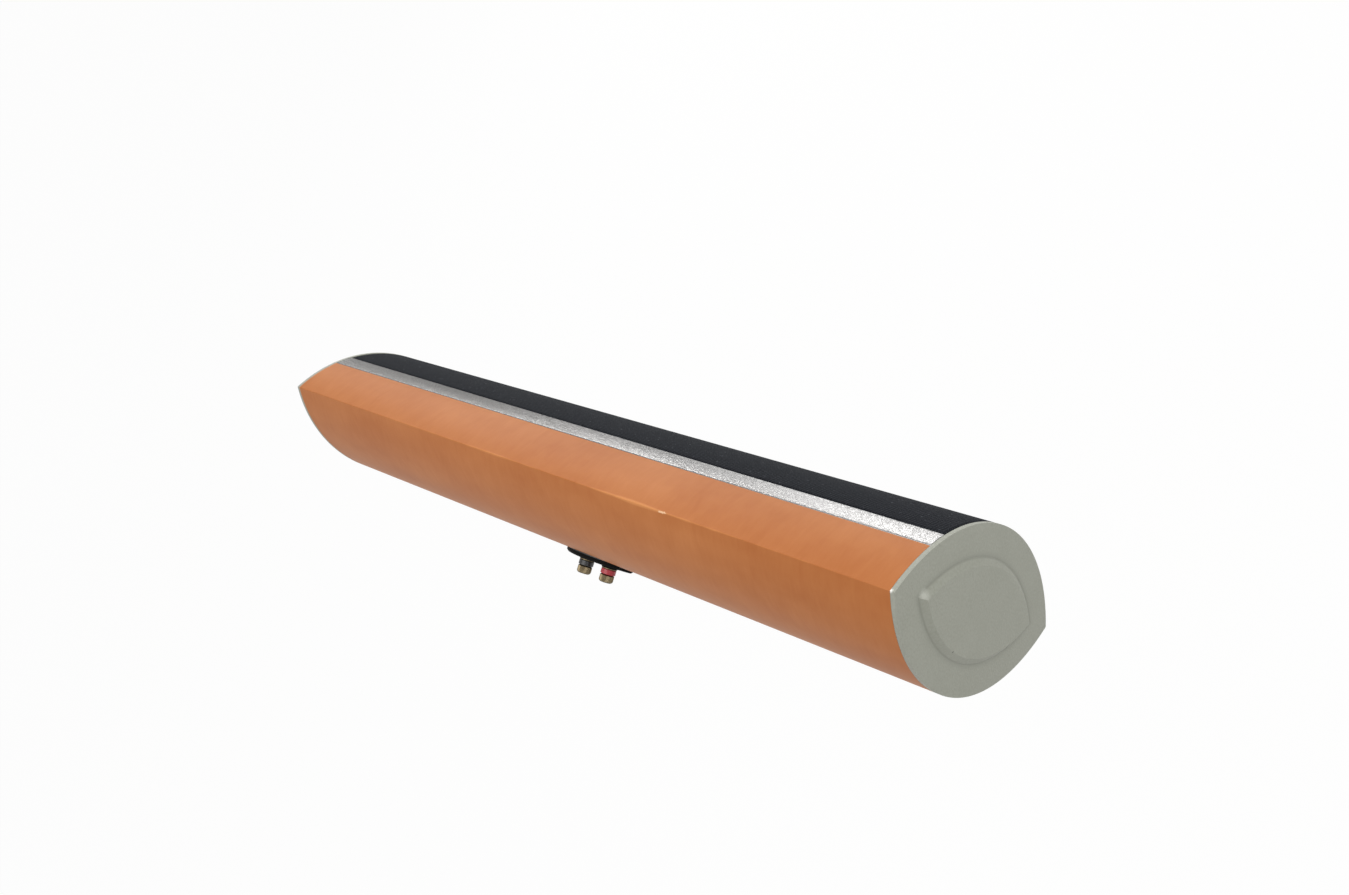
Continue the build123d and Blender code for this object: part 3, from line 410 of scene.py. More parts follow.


# %% [markdown]
# ## Cherry veneer
#
# The cabinet wears a cherry veneer under a satin lacquer, with its grain across the bar. One noise would
# look like a stain, so three give the eye the wood: slow clouds of tone along the bar, and a ripple and the
# grain across it. Real grain is about 0.4 mm wide, which no pixel of the picture can show, so it is drawn
# 1.9 mm wide. A painted highlight makes the lacquer paler along the ridges, less and less towards the right
# end, and a small chip on the upper ridge bares the wood.

# %% Cherry veneer
GRAIN = (1.9 * MM, 11 * MM, 11 * MM)
RIPPLE = (7.7 * MM, 20 * MM, 20 * MM)
CLOUD = (62 * MM, 28 * MM, 28 * MM)
GRAIN_SHARE = 0.3
RIPPLE_SHARE = 0.4


def per_metre(size):
    return [1 / length for length in size]


veneer, tree, shader = new_material("cherry_veneer_lacquered")
place = add(tree, "TexCoord").outputs["Object"]
across = add(tree, "Mapping", {"Vector": place, "Scale": per_metre(GRAIN)})
grain = add(tree, "TexNoise", {"Vector": across, "Scale": 1.0, "Detail": 3.0, "Roughness": 0.6})
wide = add(tree, "Mapping", {"Vector": place, "Scale": per_metre(RIPPLE)})
ripple = add(tree, "TexNoise", {"Vector": wide, "Scale": 1.0, "Detail": 2.0, "Distortion": 0.6})
drawn = add(tree, "Mapping", {"Vector": place, "Scale": per_metre(CLOUD)})
cloud = add(tree, "TexNoise", {"Vector": drawn, "Scale": 1.0, "Detail": 3.0})
tone = add(tree, "Math", {0: grain, 1: GRAIN_SHARE, 2: cloud}, operation="MULTIPLY_ADD")
tone = add(tree, "Math", {0: ripple, 1: RIPPLE_SHARE, 2: tone}, operation="MULTIPLY_ADD")
wood = add(tree, "MapRange", {"Value": tone, "From Min": 0.45, "From Max": 1.25})
body = add(tree, "Mix", {0: wood, 6: colour("#A66131"), 7: colour("#BA7745")}, data_type="RGBA")
relief = add(tree, "Bump", {"Height": tone, "Strength": 0.12, "Distance": 0.4 * MM})
feed(tree, shader, {"Normal": relief, "Roughness": 0.48, "Specular IOR Level": 0.15})
print(veneer.name, len(tree.nodes), "nodes")

# %% Painted highlight on the ridges, and a chip
# The clouds add about half of the sway below to the height, so the painted highlight starts about 2 mm below
# these marks.
RIDGE_HIGHLIGHT_SWAY = 4 * MM
RIDGE_HIGHLIGHT_START = 79.2 * MM
RIDGE_HIGHLIGHT_FULL = 79.8 * MM
RIDGE_HIGHLIGHT_FADES = -20 * MM
RIDGE_HIGHLIGHT_GONE = 140 * MM
CHIP_PLACE = (-0.103, -0.0415, 0.0777)
CHIP_STRETCH = (0.22, 1, 1)
CHIP_EDGE = 0.9 * MM
CHIP_RAGGED = 1.6 * MM
CHIP_OUTSIDE = 1.5 * MM
CHIP_INSIDE = 1.2 * MM

axes = add(tree, "SeparateXYZ", {0: place})
height = add(tree, "Math", {0: axes.outputs["Z"]}, operation="ABSOLUTE")
uneven = add(tree, "Math", {0: cloud, 1: RIDGE_HIGHLIGHT_SWAY, 2: height}, operation="MULTIPLY_ADD")
# painted highlight: the lacquer's colour is made paler along both ridges, fading out towards +X
ridge_highlight_band = add(tree, "MapRange", {"Value": uneven, "From Min": RIDGE_HIGHLIGHT_START, "From Max": RIDGE_HIGHLIGHT_FULL})
held = add(tree, "MapRange", {"Value": axes.outputs["X"], "From Min": RIDGE_HIGHLIGHT_GONE, "From Max": RIDGE_HIGHLIGHT_FADES})
rub = add(tree, "Math", {0: ridge_highlight_band, 1: held}, operation="MULTIPLY")
painted_ridge_highlight = add(tree, "Mix", {0: rub, 6: body.outputs[2], 7: colour("#C8854F")}, data_type="RGBA")
offset = add(tree, "VectorMath", {0: place, 1: CHIP_PLACE}, operation="SUBTRACT")
shape = add(tree, "VectorMath", {0: offset, 1: CHIP_STRETCH}, operation="MULTIPLY")
away = add(tree, "VectorMath", {0: shape}, operation="LENGTH")
ragged = add(tree, "TexNoise", {"Vector": place, "Scale": 1 / CHIP_EDGE})
reach = add(tree, "Math", {0: ragged, 1: CHIP_RAGGED, 2: away.outputs["Value"]}, operation="MULTIPLY_ADD")
chip = add(tree, "MapRange", {"Value": reach, "From Min": CHIP_OUTSIDE, "From Max": CHIP_INSIDE})
worn = add(tree, "Mix", {0: chip, 6: painted_ridge_highlight.outputs[2], 7: colour("#E3BC95")}, data_type="RGBA")
feed(tree, shader, {"Base Color": worn.outputs[2]})
print(veneer.name, len(tree.nodes), "nodes with wear")

# %% [markdown]
# ## Black board
#
# The shell and the baffle are fibreboard, and all that shows of it behind the grille is painted black. A
# plain black would look like a hole. The paint keeps a little of the board's fibre instead: an uneven relief
# and a tone that wanders between black and dark grey. The fibres are finer than a pixel and are drawn 2.4 mm
# wide.

# %% Black board
BOARD_FIBRE = 2.4 * MM

black_board, tree, shader = new_material("fibreboard_painted_black")
place = add(tree, "TexCoord").outputs["Object"]
fibre = add(tree, "TexNoise", {"Vector": place, "Scale": 1 / BOARD_FIBRE, "Detail": 5.0})
paint = add(tree, "Mix", {0: fibre, 6: colour("#131314"), 7: colour("#2A2A2B")}, data_type="RGBA")
relief = add(tree, "Bump", {"Height": fibre, "Strength": 0.25, "Distance": 0.5 * MM})
feed(tree, shader, {"Base Color": paint.outputs[2], "Roughness": 0.6, "Normal": relief})
feed(tree, shader, {"Specular IOR Level": 0.2})
print(black_board.name, len(tree.nodes), "nodes")

# %% [markdown]
# ## Cabinet shell
#
# The shell is one section from end to end: the rear arc, the rounded ridge, the front arc down to the rebate
# of the silver strip, the cheek, the ledge that carries the baffle, and the wall inside. Half of it is drawn,
# a mirror gives the other half, and the whole is pushed along X. A pipe of two lenses with cut-outs would
# give the same shell, but with ragged edges along the cuts. The rebate is a little wider than the strip, so
# that a thin dark line parts the strip from the wood.

# %% Cabinet shell
WALL = 9 * MM
LEDGE = 6 * MM
STRIP_REBATE = 9.8 * MM
STRIP_ROOM = 2.4 * MM
SHELL_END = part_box("cabinet_shell")[1][0]
STRIP_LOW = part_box("trim_strip_upper")[0][2]
STRIP_HIGH = STRIP_LOW + STRIP_REBATE
BAFFLE_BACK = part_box("front_baffle")[1][1]
LEDGE_BACK = BAFFLE_BACK + LEDGE
LEDGE_EDGE = STRIP_LOW - LEDGE
ridge_axis = Vector((0, MID_Y, math.sqrt((ARC_RADIUS - RIDGE_RADIUS) ** 2 - ARC_OFFSET**2)))
rear_touch = REAR_AXIS + (ridge_axis - REAR_AXIS).normalized() * ARC_RADIUS
front_touch = FRONT_AXIS + (ridge_axis - FRONT_AXIS).normalized() * ARC_RADIUS
inner_radius = ARC_RADIUS - WALL
inner_ridge = Vector((0, MID_Y, math.sqrt(inner_radius**2 - ARC_OFFSET**2)))
neck = math.sqrt(inner_radius**2 - (LEDGE_BACK - FRONT_AXIS.y) ** 2)

shell = start_line("cabinet_shell_veneered", rear_at(0))
arc_to(shell, rear_touch, REAR_AXIS, steps=40)
arc_to(shell, front_touch, ridge_axis, steps=6)
arc_to(shell, front_at(STRIP_HIGH), FRONT_AXIS, steps=14)
line_to(shell, front_at(STRIP_HIGH, STRIP_ROOM))
arc_to(shell, front_at(STRIP_LOW, STRIP_ROOM), FRONT_AXIS, steps=8)
line_to(shell, (0, BAFFLE_BACK, STRIP_LOW))
line_to(shell, (0, BAFFLE_BACK, LEDGE_EDGE))
line_to(shell, (0, LEDGE_BACK, LEDGE_EDGE))
line_to(shell, (0, LEDGE_BACK, neck))
arc_to(shell, inner_ridge, FRONT_AXIS, steps=8)
arc_to(shell, rear_at(0, WALL), REAR_AXIS, steps=30)
bpy.ops.object.mode_set(mode="OBJECT")
apply_modifier(shell, "MIRROR", use_axis=(False, False, True), merge_threshold=MERGE)
bpy.ops.object.mode_set(mode="EDIT")
push_along(shell, -SHELL_END, SHELL_END)
bpy.ops.object.mode_set(mode="OBJECT")
report(shell)

# %% [markdown]
# ## Openings in the back
#
# The terminal plate lies in a shallow seat with an opening through the wall, and two threaded inserts for a
# bracket sit beside it. Openings can be cut by hand or with a boolean. Booleans are used, since the wall is
# curved and the edges of the cuts then follow it exactly. A boolean can leave slivers, so the mesh is cleaned
# after each cut.

# %% Cutting
CUT_MERGE = 0.005 * MM


def block(name, low, high):
    bpy.ops.object.select_all(action="DESELECT")
    bpy.ops.mesh.primitive_cube_add(size=1)
    piece = bpy.context.object
    piece.name = piece.data.name = name
    bpy.ops.object.mode_set(mode="EDIT")
    bpy.ops.transform.resize(value=Vector(high) - Vector(low))
    bpy.ops.transform.translate(value=(Vector(high) + Vector(low)) / 2)
    return piece


def cut(piece, cutter):
    apply_modifier(piece, "BOOLEAN", operation="DIFFERENCE", object=cutter, solver="EXACT")
    bpy.data.objects.remove(cutter)
    bpy.ops.object.mode_set(mode="EDIT")
    bpy.ops.mesh.select_all(action="SELECT")
    bpy.ops.mesh.remove_doubles(threshold=CUT_MERGE)
    bpy.ops.mesh.dissolve_degenerate(threshold=CUT_MERGE)
    bpy.ops.object.mode_set(mode="OBJECT")


# %% Terminal seat
FIT = 0.2 * MM
PLATE_TIP = 27.5 * MM + FIT
TIP_BEVEL = 1.95 * MM
SEAT_REACH = 10 * MM
ACROSS = Vector((0, 1, 0))


def corners(node):
    low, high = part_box(node)
    return Vector(low), Vector(high)


plate_low, plate_high = corners("terminal_gasket")
plate_half = plate_high.z + FIT
plate_arc = (PLATE_TIP**2 + plate_half**2) / (2 * plate_half)
upper_axis = Vector((0, plate_low.y, plate_half - plate_arc))
seat = start_line("seat_cutter", (-PLATE_TIP, plate_low.y, 0))
for side in (1, -1):
    axis = upper_axis * Vector((1, 1, side))
    arc_to(seat, (0, plate_low.y, side * plate_half), axis, steps=16, along=ACROSS)
    arc_to(seat, (side * PLATE_TIP, plate_low.y, 0), axis, steps=16, along=ACROSS)
merge_doubles()
pick(seat, lambda place: near(abs(place.x), PLATE_TIP))
bpy.ops.mesh.bevel(offset=TIP_BEVEL, segments=6, affect="VERTICES")
bpy.ops.mesh.select_all(action="SELECT")
bpy.ops.mesh.edge_face_add()
bpy.ops.mesh.extrude_region_move(TRANSFORM_OT_translate={"value": (0, SEAT_REACH, 0)})
mend_normals()
bpy.ops.object.mode_set(mode="OBJECT")
cut(shell, seat)
report(shell)

# %% Terminal opening and insert holes
OPENING_LOW = (-19 * MM, -20 * MM, -7 * MM)
OPENING_HIGH = (19 * MM, 5 * MM, 7 * MM)
DRILL_DEPTH = 40 * MM
DRILL_TURN = (math.pi / 2, 0, 0)

opening = block("hole_cutter", OPENING_LOW, OPENING_HIGH)
bpy.ops.object.mode_set(mode="OBJECT")
cut(shell, opening)
insert_high = corners("wall_inserts")[1]
hole = insert_high.z
for side in (-1, 1):
    bpy.ops.mesh.primitive_cylinder_add(vertices=48, radius=hole, depth=DRILL_DEPTH, rotation=DRILL_TURN)
    drill = bpy.context.object
    drill.location = (side * (insert_high.x - hole), 0, 0)
    cut(shell, drill)
report(shell)

# %% Veneer outside, black inside
VENEER_SKIN = 0.5 * MM


def depth_in_wood(place):
    return min(ARC_RADIUS - (place - axis).yz.length for axis in (FRONT_AXIS, REAR_AXIS))


def soften(piece, degrees=30):
    choose(piece)
    bpy.ops.object.shade_smooth_by_angle(angle=math.radians(degrees))
    apply_modifier(piece, "WEIGHTED_NORMAL", keep_sharp=True)


def attach(piece, body, node):
    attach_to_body(piece, body)
    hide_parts(node)
    report(piece)


shell.data.materials.append(veneer)
shell.data.materials.append(black_board)
for face in shell.data.polygons:
    deepest = max(abs(depth_in_wood(shell.data.vertices[i].co)) for i in face.vertices)
    face.material_index = 0 if deepest < VENEER_SKIN else 1
soften(shell)
attach(shell, "cabinet", "cabinet_shell")

# %% [markdown]
# ## Silver strips
#
# The strips beside the grille carry a lacquer full of metal flakes. Each flake lies at its own small angle,
# so some of them flash and their neighbours stay grey. A noise in the colour alone would look like dirt: here
# a Voronoi pattern gives every flake its own tilt, and the light does the rest. Real flakes are about 0.1 mm
# wide. They are drawn at 0.36 mm so that single flashes still show in the picture.

# %% Flake lacquer
FLAKE = 0.36 * MM
HALF = (0.5, 0.5, 0.5)
FLAKE_TILT = (0.2, 0.2, 0.2)

silver, tree, shader = new_material("silver_flake_lacquer")
place = add(tree, "TexCoord").outputs["Object"]
flakes = add(tree, "TexVoronoi", {"Vector": place, "Scale": 1 / FLAKE})
tilt = add(tree, "VectorMath", {0: flakes.outputs["Color"], 1: HALF}, operation="SUBTRACT")
upright = add(tree, "NewGeometry").outputs["Normal"]
lean = add(tree, "VectorMath", {0: tilt, 1: FLAKE_TILT, 2: upright}, operation="MULTIPLY_ADD")
facet = add(tree, "VectorMath", {0: lean}, operation="NORMALIZE")
shade = add(tree, "SeparateColor", {0: flakes.outputs["Color"]})
metal = add(tree, "Mix", {0: shade, 6: colour("#676665"), 7: colour("#9B9A99")}, data_type="RGBA")
feed(tree, shader, {"Base Color": metal.outputs[2], "Metallic": 1.0, "Roughness": 0.22})
feed(tree, shader, {"Normal": facet})
print(silver.name, len(tree.nodes), "nodes")

# %% Silver strips
STRIP_GAP = 0.1 * MM
STRIP_THICKNESS = STRIP_ROOM - STRIP_GAP
SOFT_EDGE = 0.3 * MM


def round_edges(piece, width, sharpest):
    limit = math.radians(sharpest)
    apply_modifier(piece, "BEVEL", width=width, segments=3, limit_method="ANGLE", angle_limit=limit)


def mirrored_copy(name, scale):
    bpy.ops.object.duplicate()
    copy = bpy.context.object
    copy.name = copy.data.name = name
    bpy.ops.object.mode_set(mode="EDIT")
    bpy.ops.mesh.select_all(action="SELECT")
    bpy.ops.transform.resize(value=scale, center_override=(0, 0, 0))
    mend_normals()
    bpy.ops.object.mode_set(mode="OBJECT")
    return copy


strip_low, strip_high = corners("trim_strip_upper")
strip = start_line("trim_strip_upper_silver", front_at(strip_low.z))
arc_to(strip, front_at(strip_high.z), FRONT_AXIS, steps=10)
line_to(strip, front_at(strip_high.z, STRIP_THICKNESS))
arc_to(strip, front_at(strip_low.z, STRIP_THICKNESS), FRONT_AXIS, steps=10)
line_to(strip, front_at(strip_low.z))
merge_doubles()
push_along(strip, strip_low.x, strip_high.x)
bpy.ops.object.mode_set(mode="OBJECT")
round_edges(strip, SOFT_EDGE, sharpest=40)
strip.data.materials.append(silver)
lower_strip = mirrored_copy("trim_strip_lower_silver", (1, 1, -1))
for piece, node in ((strip, "trim_strip_upper"), (lower_strip, "trim_strip_lower")):
    soften(piece)
    attach(piece, "cabinet", node)

# %% [markdown]
# ## Cap plastic
#
# The caps are moulded plastic with a fine spark texture: a grey that wanders a little, small pebbles and a
# dull shine. The pebbles are finer than a pixel and are drawn 1.1 mm wide. A plain grey would look like clay,
# so shade and light are painted too. A painted shade darkens the foot of the raised panel, and its distance
# from the panel comes from the two arcs of the lens. Three small marks sit on the left cap: a painted
# highlight on the tip of the panel, a painted glint on the corner of the rim and a dark speck from the mould.

# %% Cap plastic
PEBBLE = 1.1 * MM
FLOW = 17 * MM
FLOW_SHARE = 0.35
PANEL_INSET = 16.3 * MM
GROOVE = 1.1 * MM
PAINTED_SHADE_REACH = 4 * MM
PAINTED_SHADE_FADING = 2.0
PANEL_FOOT = ARC_RADIUS - PANEL_INSET
WITHOUT_X = (0, 1, 1)

cap_plastic, tree, shader = new_material("cap_plastic_grey")
place = add(tree, "TexCoord").outputs["Object"]
pebbles = add(tree, "TexNoise", {"Vector": place, "Scale": 1 / PEBBLE, "Detail": 2.0})
flow = add(tree, "TexNoise", {"Vector": place, "Scale": 1 / FLOW, "Detail": 3.0})
tone = add(tree, "Math", {0: flow, 1: FLOW_SHARE, 2: pebbles}, operation="MULTIPLY_ADD")
drift = add(tree, "MapRange", {"Value": tone, "From Min": 0.4, "From Max": 0.95})
grey = add(tree, "Mix", {0: drift, 6: colour("#93958A"), 7: colour("#9FA197")}, data_type="RGBA")
# painted shade: the grey darkens round the foot of the raised panel
flat = add(tree, "VectorMath", {0: place, 1: WITHOUT_X}, operation="MULTIPLY")
from_front = add(tree, "VectorMath", {0: flat, 1: FRONT_AXIS}, operation="DISTANCE")
from_rear = add(tree, "VectorMath", {0: flat, 1: REAR_AXIS}, operation="DISTANCE")
radii = {0: from_front.outputs["Value"], 1: from_rear.outputs["Value"]}
outer = add(tree, "Math", radii, operation="MAXIMUM")
limits = {"Value": outer, "From Min": PANEL_FOOT + PAINTED_SHADE_REACH, "From Max": PANEL_FOOT + GROOVE / 2}
outside = add(tree, "MapRange", limits)
fading = add(tree, "Math", {0: outside, 1: PAINTED_SHADE_FADING}, operation="POWER")
limits = {"Value": outer, "From Min": PANEL_FOOT - GROOVE / 2, "From Max": PANEL_FOOT}
inside = add(tree, "MapRange", limits)
panel_foot_painted_shade = add(tree, "Math", {0: fading, 1: inside}, operation="MULTIPLY")
skin = add(tree, "Mix", {0: panel_foot_painted_shade, 6: grey.outputs[2], 7: colour("#8E9086")}, data_type="RGBA").outputs[2]
relief = add(tree, "Bump", {"Height": pebbles, "Strength": 0.3, "Distance": 0.4 * MM})
feed(tree, shader, {"Normal": relief, "Roughness": 0.5, "Specular IOR Level": 0.25})
print(cap_plastic.name, len(tree.nodes), "nodes")

# %% Painted highlights and a mould speck on the left cap
PANEL_TIP_HIGHLIGHT = (-0.2386, -0.0430, 0.0545)
RIM_CORNER_GLINT = (-0.2354, -0.0416, 0.0776)
MOULD_SPECK = (-0.2398, -0.0214, 0.0166)
ANYWHERE = 0
MARK_STARTS = 1.6
MARK_FULL = 0.7
# place, reach, tint, and the Y up to which the mark shows
CAP_MARKS_AND_HIGHLIGHTS = (
    # painted highlight on the tip of the panel, on its front half only
    (PANEL_TIP_HIGHLIGHT, 3.6 * MM, "#B5B7AE", MID_Y),
    # painted glint on the corner of the rim
    (RIM_CORNER_GLINT, 1.4 * MM, "#F4F4F0", ANYWHERE),
    (MOULD_SPECK, 0.6 * MM, "#45453F", ANYWHERE),
)

depth = add(tree, "SeparateXYZ", {0: place}).outputs["Y"]
for centre, reach, tint, back in CAP_MARKS_AND_HIGHLIGHTS:
    away = add(tree, "VectorMath", {0: place, 1: centre}, operation="DISTANCE")
    ragged = add(tree, "Math", {0: pebbles, 1: reach, 2: away.outputs["Value"]}, operation="MULTIPLY_ADD")
    limits = {"Value": ragged, "From Min": MARK_STARTS * reach, "From Max": MARK_FULL * reach}
    mark = add(tree, "MapRange", limits)
    front = add(tree, "Math", {0: depth, 1: back}, operation="LESS_THAN")
    shown = add(tree, "Math", {0: mark, 1: front}, operation="MULTIPLY")
    skin = add(tree, "Mix", {0: shown, 6: skin, 7: colour(tint)}, data_type="RGBA").outputs[2]
feed(tree, shader, {"Base Color": skin})
print(cap_plastic.name, len(CAP_MARKS_AND_HIGHLIGHTS), "marks")

# %% [markdown]
# ## End caps
#
# A cap is a moulded plate with the outline of the lens and a raised lens panel with sloping sides. Insetting
# the outline would pull the tips of the inner lens off their line, so the cap is made as a joiner makes a
# frame: the profile of rim, face and slope is spun round the axis of the front arc, cut at the middle plane
# like a mitre, and mirrored both ways. A shallow groove runs round the panel's foot. Filling the two open
# loops closes the cap, the ridges get their own rounding, and a bevel takes every sharp edge so that the rim
# catches a line of light.

# %% End caps
PANEL_BEVEL = 3.2 * MM
GROOVE_DEPTH = 0.15 * MM
CAP_RIM = 2.4 * MM
CAP_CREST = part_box("end_cap_right")[1][0]
CAP_FACE = SHELL_END + CAP_RIM
CAP_SWEEP = math.radians(60)
MITRE = 0.0005 * MM
# a bevel of this share of the radius rounds the ridge to about that radius
RIDGE_SHARE = 0.674
RIDGE_FOUND = 0.05 * MM


def cap_point(inset, x):
    return Vector((x, FRONT_AXIS.y - ARC_RADIUS + inset, 0))


cap = start_line("end_cap_right_moulded", cap_point(0, SHELL_END))
line_to(cap, cap_point(0, CAP_FACE))
line_to(cap, cap_point(PANEL_INSET - GROOVE, CAP_FACE))
line_to(cap, cap_point(PANEL_INSET - GROOVE / 2, CAP_FACE - GROOVE_DEPTH))
line_to(cap, cap_point(PANEL_INSET, CAP_FACE))
line_to(cap, cap_point(PANEL_INSET + PANEL_BEVEL, CAP_CREST))
bpy.ops.mesh.select_all(action="SELECT")
bpy.ops.mesh.spin(steps=48, angle=CAP_SWEEP, center=FRONT_AXIS, axis=ALONG)
bpy.ops.mesh.select_all(action="SELECT")
bpy.ops.mesh.bisect(plane_co=(0, MID_Y, 0), plane_no=ACROSS, clear_outer=True, threshold=MITRE)
bpy.ops.object.mode_set(mode="OBJECT")
bpy.ops.object.empty_add(location=(0, MID_Y, 0))
mirror = bpy.context.object
both_ways = {"use_axis": (False, True, True), "mirror_object": mirror, "merge_threshold": CUT_MERGE}
apply_modifier(cap, "MIRROR", **both_ways)
bpy.data.objects.remove(mirror)
bpy.ops.object.mode_set(mode="EDIT")
close_ends(cap, (SHELL_END, CAP_CREST))
mend_normals()
pick(cap, lambda place: near(abs(place.z), LENS_CORNER, RIDGE_FOUND))
bpy.ops.mesh.bevel(offset=RIDGE_SHARE * RIDGE_RADIUS, segments=5, affect="EDGES")
mend_normals()
bpy.ops.object.mode_set(mode="OBJECT")
round_edges(cap, SOFT_EDGE, sharpest=30)
cap.data.materials.append(cap_plastic)
left_cap = mirrored_copy("end_cap_left_moulded", (-1, 1, 1))
for piece, node in ((cap, "end_cap_right"), (left_cap, "end_cap_left")):
    soften(piece, degrees=24)
    attach(piece, "cabinet", node)

# %% [markdown]
# ## Grille cloth
#
# A black stretch cloth is pulled over the lattice frame, round its edges and glued inside. It could be a
# cloth simulation, but a stretched cloth lies where its frame is, so its section is drawn, pushed along,
# closed at the ends and rounded where it turns over the frame's edge. The knit is two waves across each
# other. Real stitches are about 0.5 mm wide and would only be noise in the picture, so they are drawn at
# 1.6 mm. A little lint sits on the yarn.

# %% Knitted cloth
STITCH = 1.6 * MM
LINT = 2 * MM
LINT_DOT = 1.25 * MM
LINT_SHARE = 0.6
# a wave texture of scale 1 repeats after 2 pi / 20
WAVE_LENGTH = 0.314

knit, tree, shader = new_material("knitted_cloth_black")
place = add(tree, "TexCoord").outputs["Object"]
waves = {"Vector": place, "Scale": WAVE_LENGTH / STITCH, "Distortion": 0.6}
rows = add(tree, "TexWave", waves)
columns = add(tree, "TexWave", waves, bands_direction="Z")
stitch = add(tree, "Math", {0: rows.outputs["Fac"], 1: columns.outputs["Fac"]}, operation="MULTIPLY")
lint = add(tree, "TexNoise", {"Vector": place, "Scale": 1 / LINT, "Detail": 4.0})
yarn = add(tree, "Math", {0: lint, 1: LINT_SHARE, 2: stitch}, operation="MULTIPLY_ADD")
black = add(tree, "Mix", {0: yarn, 6: colour("#090A0D"), 7: colour("#272A30")}, data_type="RGBA")
dots = add(tree, "TexNoise", {"Vector": place, "Scale": 1 / LINT_DOT, "Detail": 0.0})
caught = add(tree, "MapRange", {"Value": dots, "From Min": 0.77, "From Max": 0.85})
dusted = add(tree, "Mix", {0: caught, 6: black.outputs[2], 7: colour("#474A4F")}, data_type="RGBA")
relief = add(tree, "Bump", {"Height": yarn, "Strength": 0.7, "Distance": 0.6 * MM})
feed(tree, shader, {"Base Color": dusted.outputs[2], "Roughness": 0.85, "Normal": relief})
feed(tree, shader, {"Specular IOR Level": 0.1})
print(knit.name, len(tree.nodes), "nodes")

# %% Grille cloth
CLOTH_THICKNESS = 0.8 * MM
TURN_RADIUS = 1.6 * MM
# lines across the cloth, in shares of its half length
CROSS_LINES = (-0.9, -0.45, 0, 0.45, 0.9)
cloth_low, cloth_high = corners("grille_cloth")
turn_y = front_at(cloth_high.z).y


def on_the_turn(place):
    at_side = near(abs(place.x), cloth_high.x) or near(place.y, turn_y)
    return place.y < turn_y + TOUCHING and at_side


cloth = start_line("grille_cloth_stretched", (0, cloth_high.y, cloth_high.z))
line_to(cloth, front_at(cloth_high.z))
arc_to(cloth, front_at(0), FRONT_AXIS, steps=32)
bpy.ops.object.mode_set(mode="OBJECT")
apply_modifier(cloth, "MIRROR", use_axis=(False, False, True), merge_threshold=MERGE)
bpy.ops.object.mode_set(mode="EDIT")
push_along(cloth, cloth_low.x, cloth_high.x, closed=False)
for share in CROSS_LINES:
    bpy.ops.mesh.select_all(action="SELECT")
    bpy.ops.mesh.bisect(plane_co=(share * cloth_high.x, 0, 0), plane_no=ALONG)
close_ends(cloth, (cloth_low.x, cloth_high.x))
mend_normals()
pick(cloth, on_the_turn)
bpy.ops.mesh.bevel(offset=TURN_RADIUS, segments=4, affect="EDGES")
mend_normals()
bpy.ops.object.mode_set(mode="OBJECT")
apply_modifier(cloth, "SOLIDIFY", thickness=CLOTH_THICKNESS, offset=-1)
cloth.data.materials.append(knit)
soften(cloth, degrees=40)
attach(cloth, "grille", "grille_cloth")
side = cloth_high.y - turn_y

# %% [markdown]
# ## Binding posts
#
# Each post is a threaded stud with a washer, a coloured ring and a gold knob that screws down on the wire.
# They could be cut from cylinders, but they are lathe work: a profile of radii and heights is drawn and spun
# once round the post's axis. The knob's grip is knurled by pulling every second line of the barrel inwards.
# The gilding is thin and handled, so its tone and gloss wander. The ring's plastic is glossy and even.

# %% Gold plate
TOUCH = 2.9 * MM


def plated_metal(name, dark, light, glossiest, dullest, grain):
    material, tree, shader = new_material(name)
    place = add(tree, "TexCoord").outputs["Object"]
    rub = add(tree, "TexNoise", {"Vector": place, "Scale": 1 / grain, "Detail": 4.0})
    tone = add(tree, "Mix", {0: rub, 6: colour(dark), 7: colour(light)}, data_type="RGBA")
    gloss = add(tree, "MapRange", {"Value": rub, "To Min": glossiest, "To Max": dullest})
    feed(tree, shader, {"Base Color": tone.outputs[2], "Metallic": 1.0, "Roughness": gloss})
    print(name, len(tree.nodes), "nodes")
    return material


# thin gilding: a brownish gold, duller where hands have been
gold = plated_metal("gold_plate_handled", "#534938", "#84765C", glossiest=0.22, dullest=0.42, grain=TOUCH)

# %% Coloured plastic
# a grain is about three times as wide as it is deep
WIDTH_TO_DEPTH = 3


def two_tone(name, dark, light, roughness, grain, bumps=0.1, sheen=0.5):
    material, tree, shader = new_material(name)
    place = add(tree, "TexCoord").outputs["Object"]
    speck = add(tree, "TexNoise", {"Vector": place, "Scale": 1 / grain, "Detail": 3.0})
    tone = add(tree, "Mix", {0: speck, 6: colour(dark), 7: colour(light)}, data_type="RGBA")
    relief = add(tree, "Bump", {"Height": speck, "Strength": bumps, "Distance": grain / WIDTH_TO_DEPTH})
    feed(tree, shader, {"Base Color": tone.outputs[2], "Roughness": roughness, "Specular IOR Level": sheen})
    feed(tree, shader, {"Normal": relief})
    print(name, len(tree.nodes), "nodes")
    return material


# moulded plastic: a clear colour with a glossy skin
ring_plastic = {
    "red": two_tone("ring_plastic_red", "#9C1B26", "#C23440", roughness=0.3, grain=1.5 * MM),
    "black": two_tone("ring_plastic_black", "#101011", "#232325", roughness=0.3, grain=1.5 * MM),
}

# %% Rings and washers
BORE = 3.08 * MM
SPIGOT = 3.7 * MM
EDGE = 0.25 * MM
RING_STEPS = 64


def lathe(name, profile, x, steps):
    piece = start_line(name, (x + profile[0][0], profile[0][1], 0))
    for radius, y in profile[1:]:
        line_to(piece, (x + radius, y, 0))
    bpy.ops.mesh.select_all(action="SELECT")
    bpy.ops.mesh.spin(steps=steps, angle=2 * math.pi, center=(x, 0, 0), axis=ACROSS)
    mend_normals()
    return piece


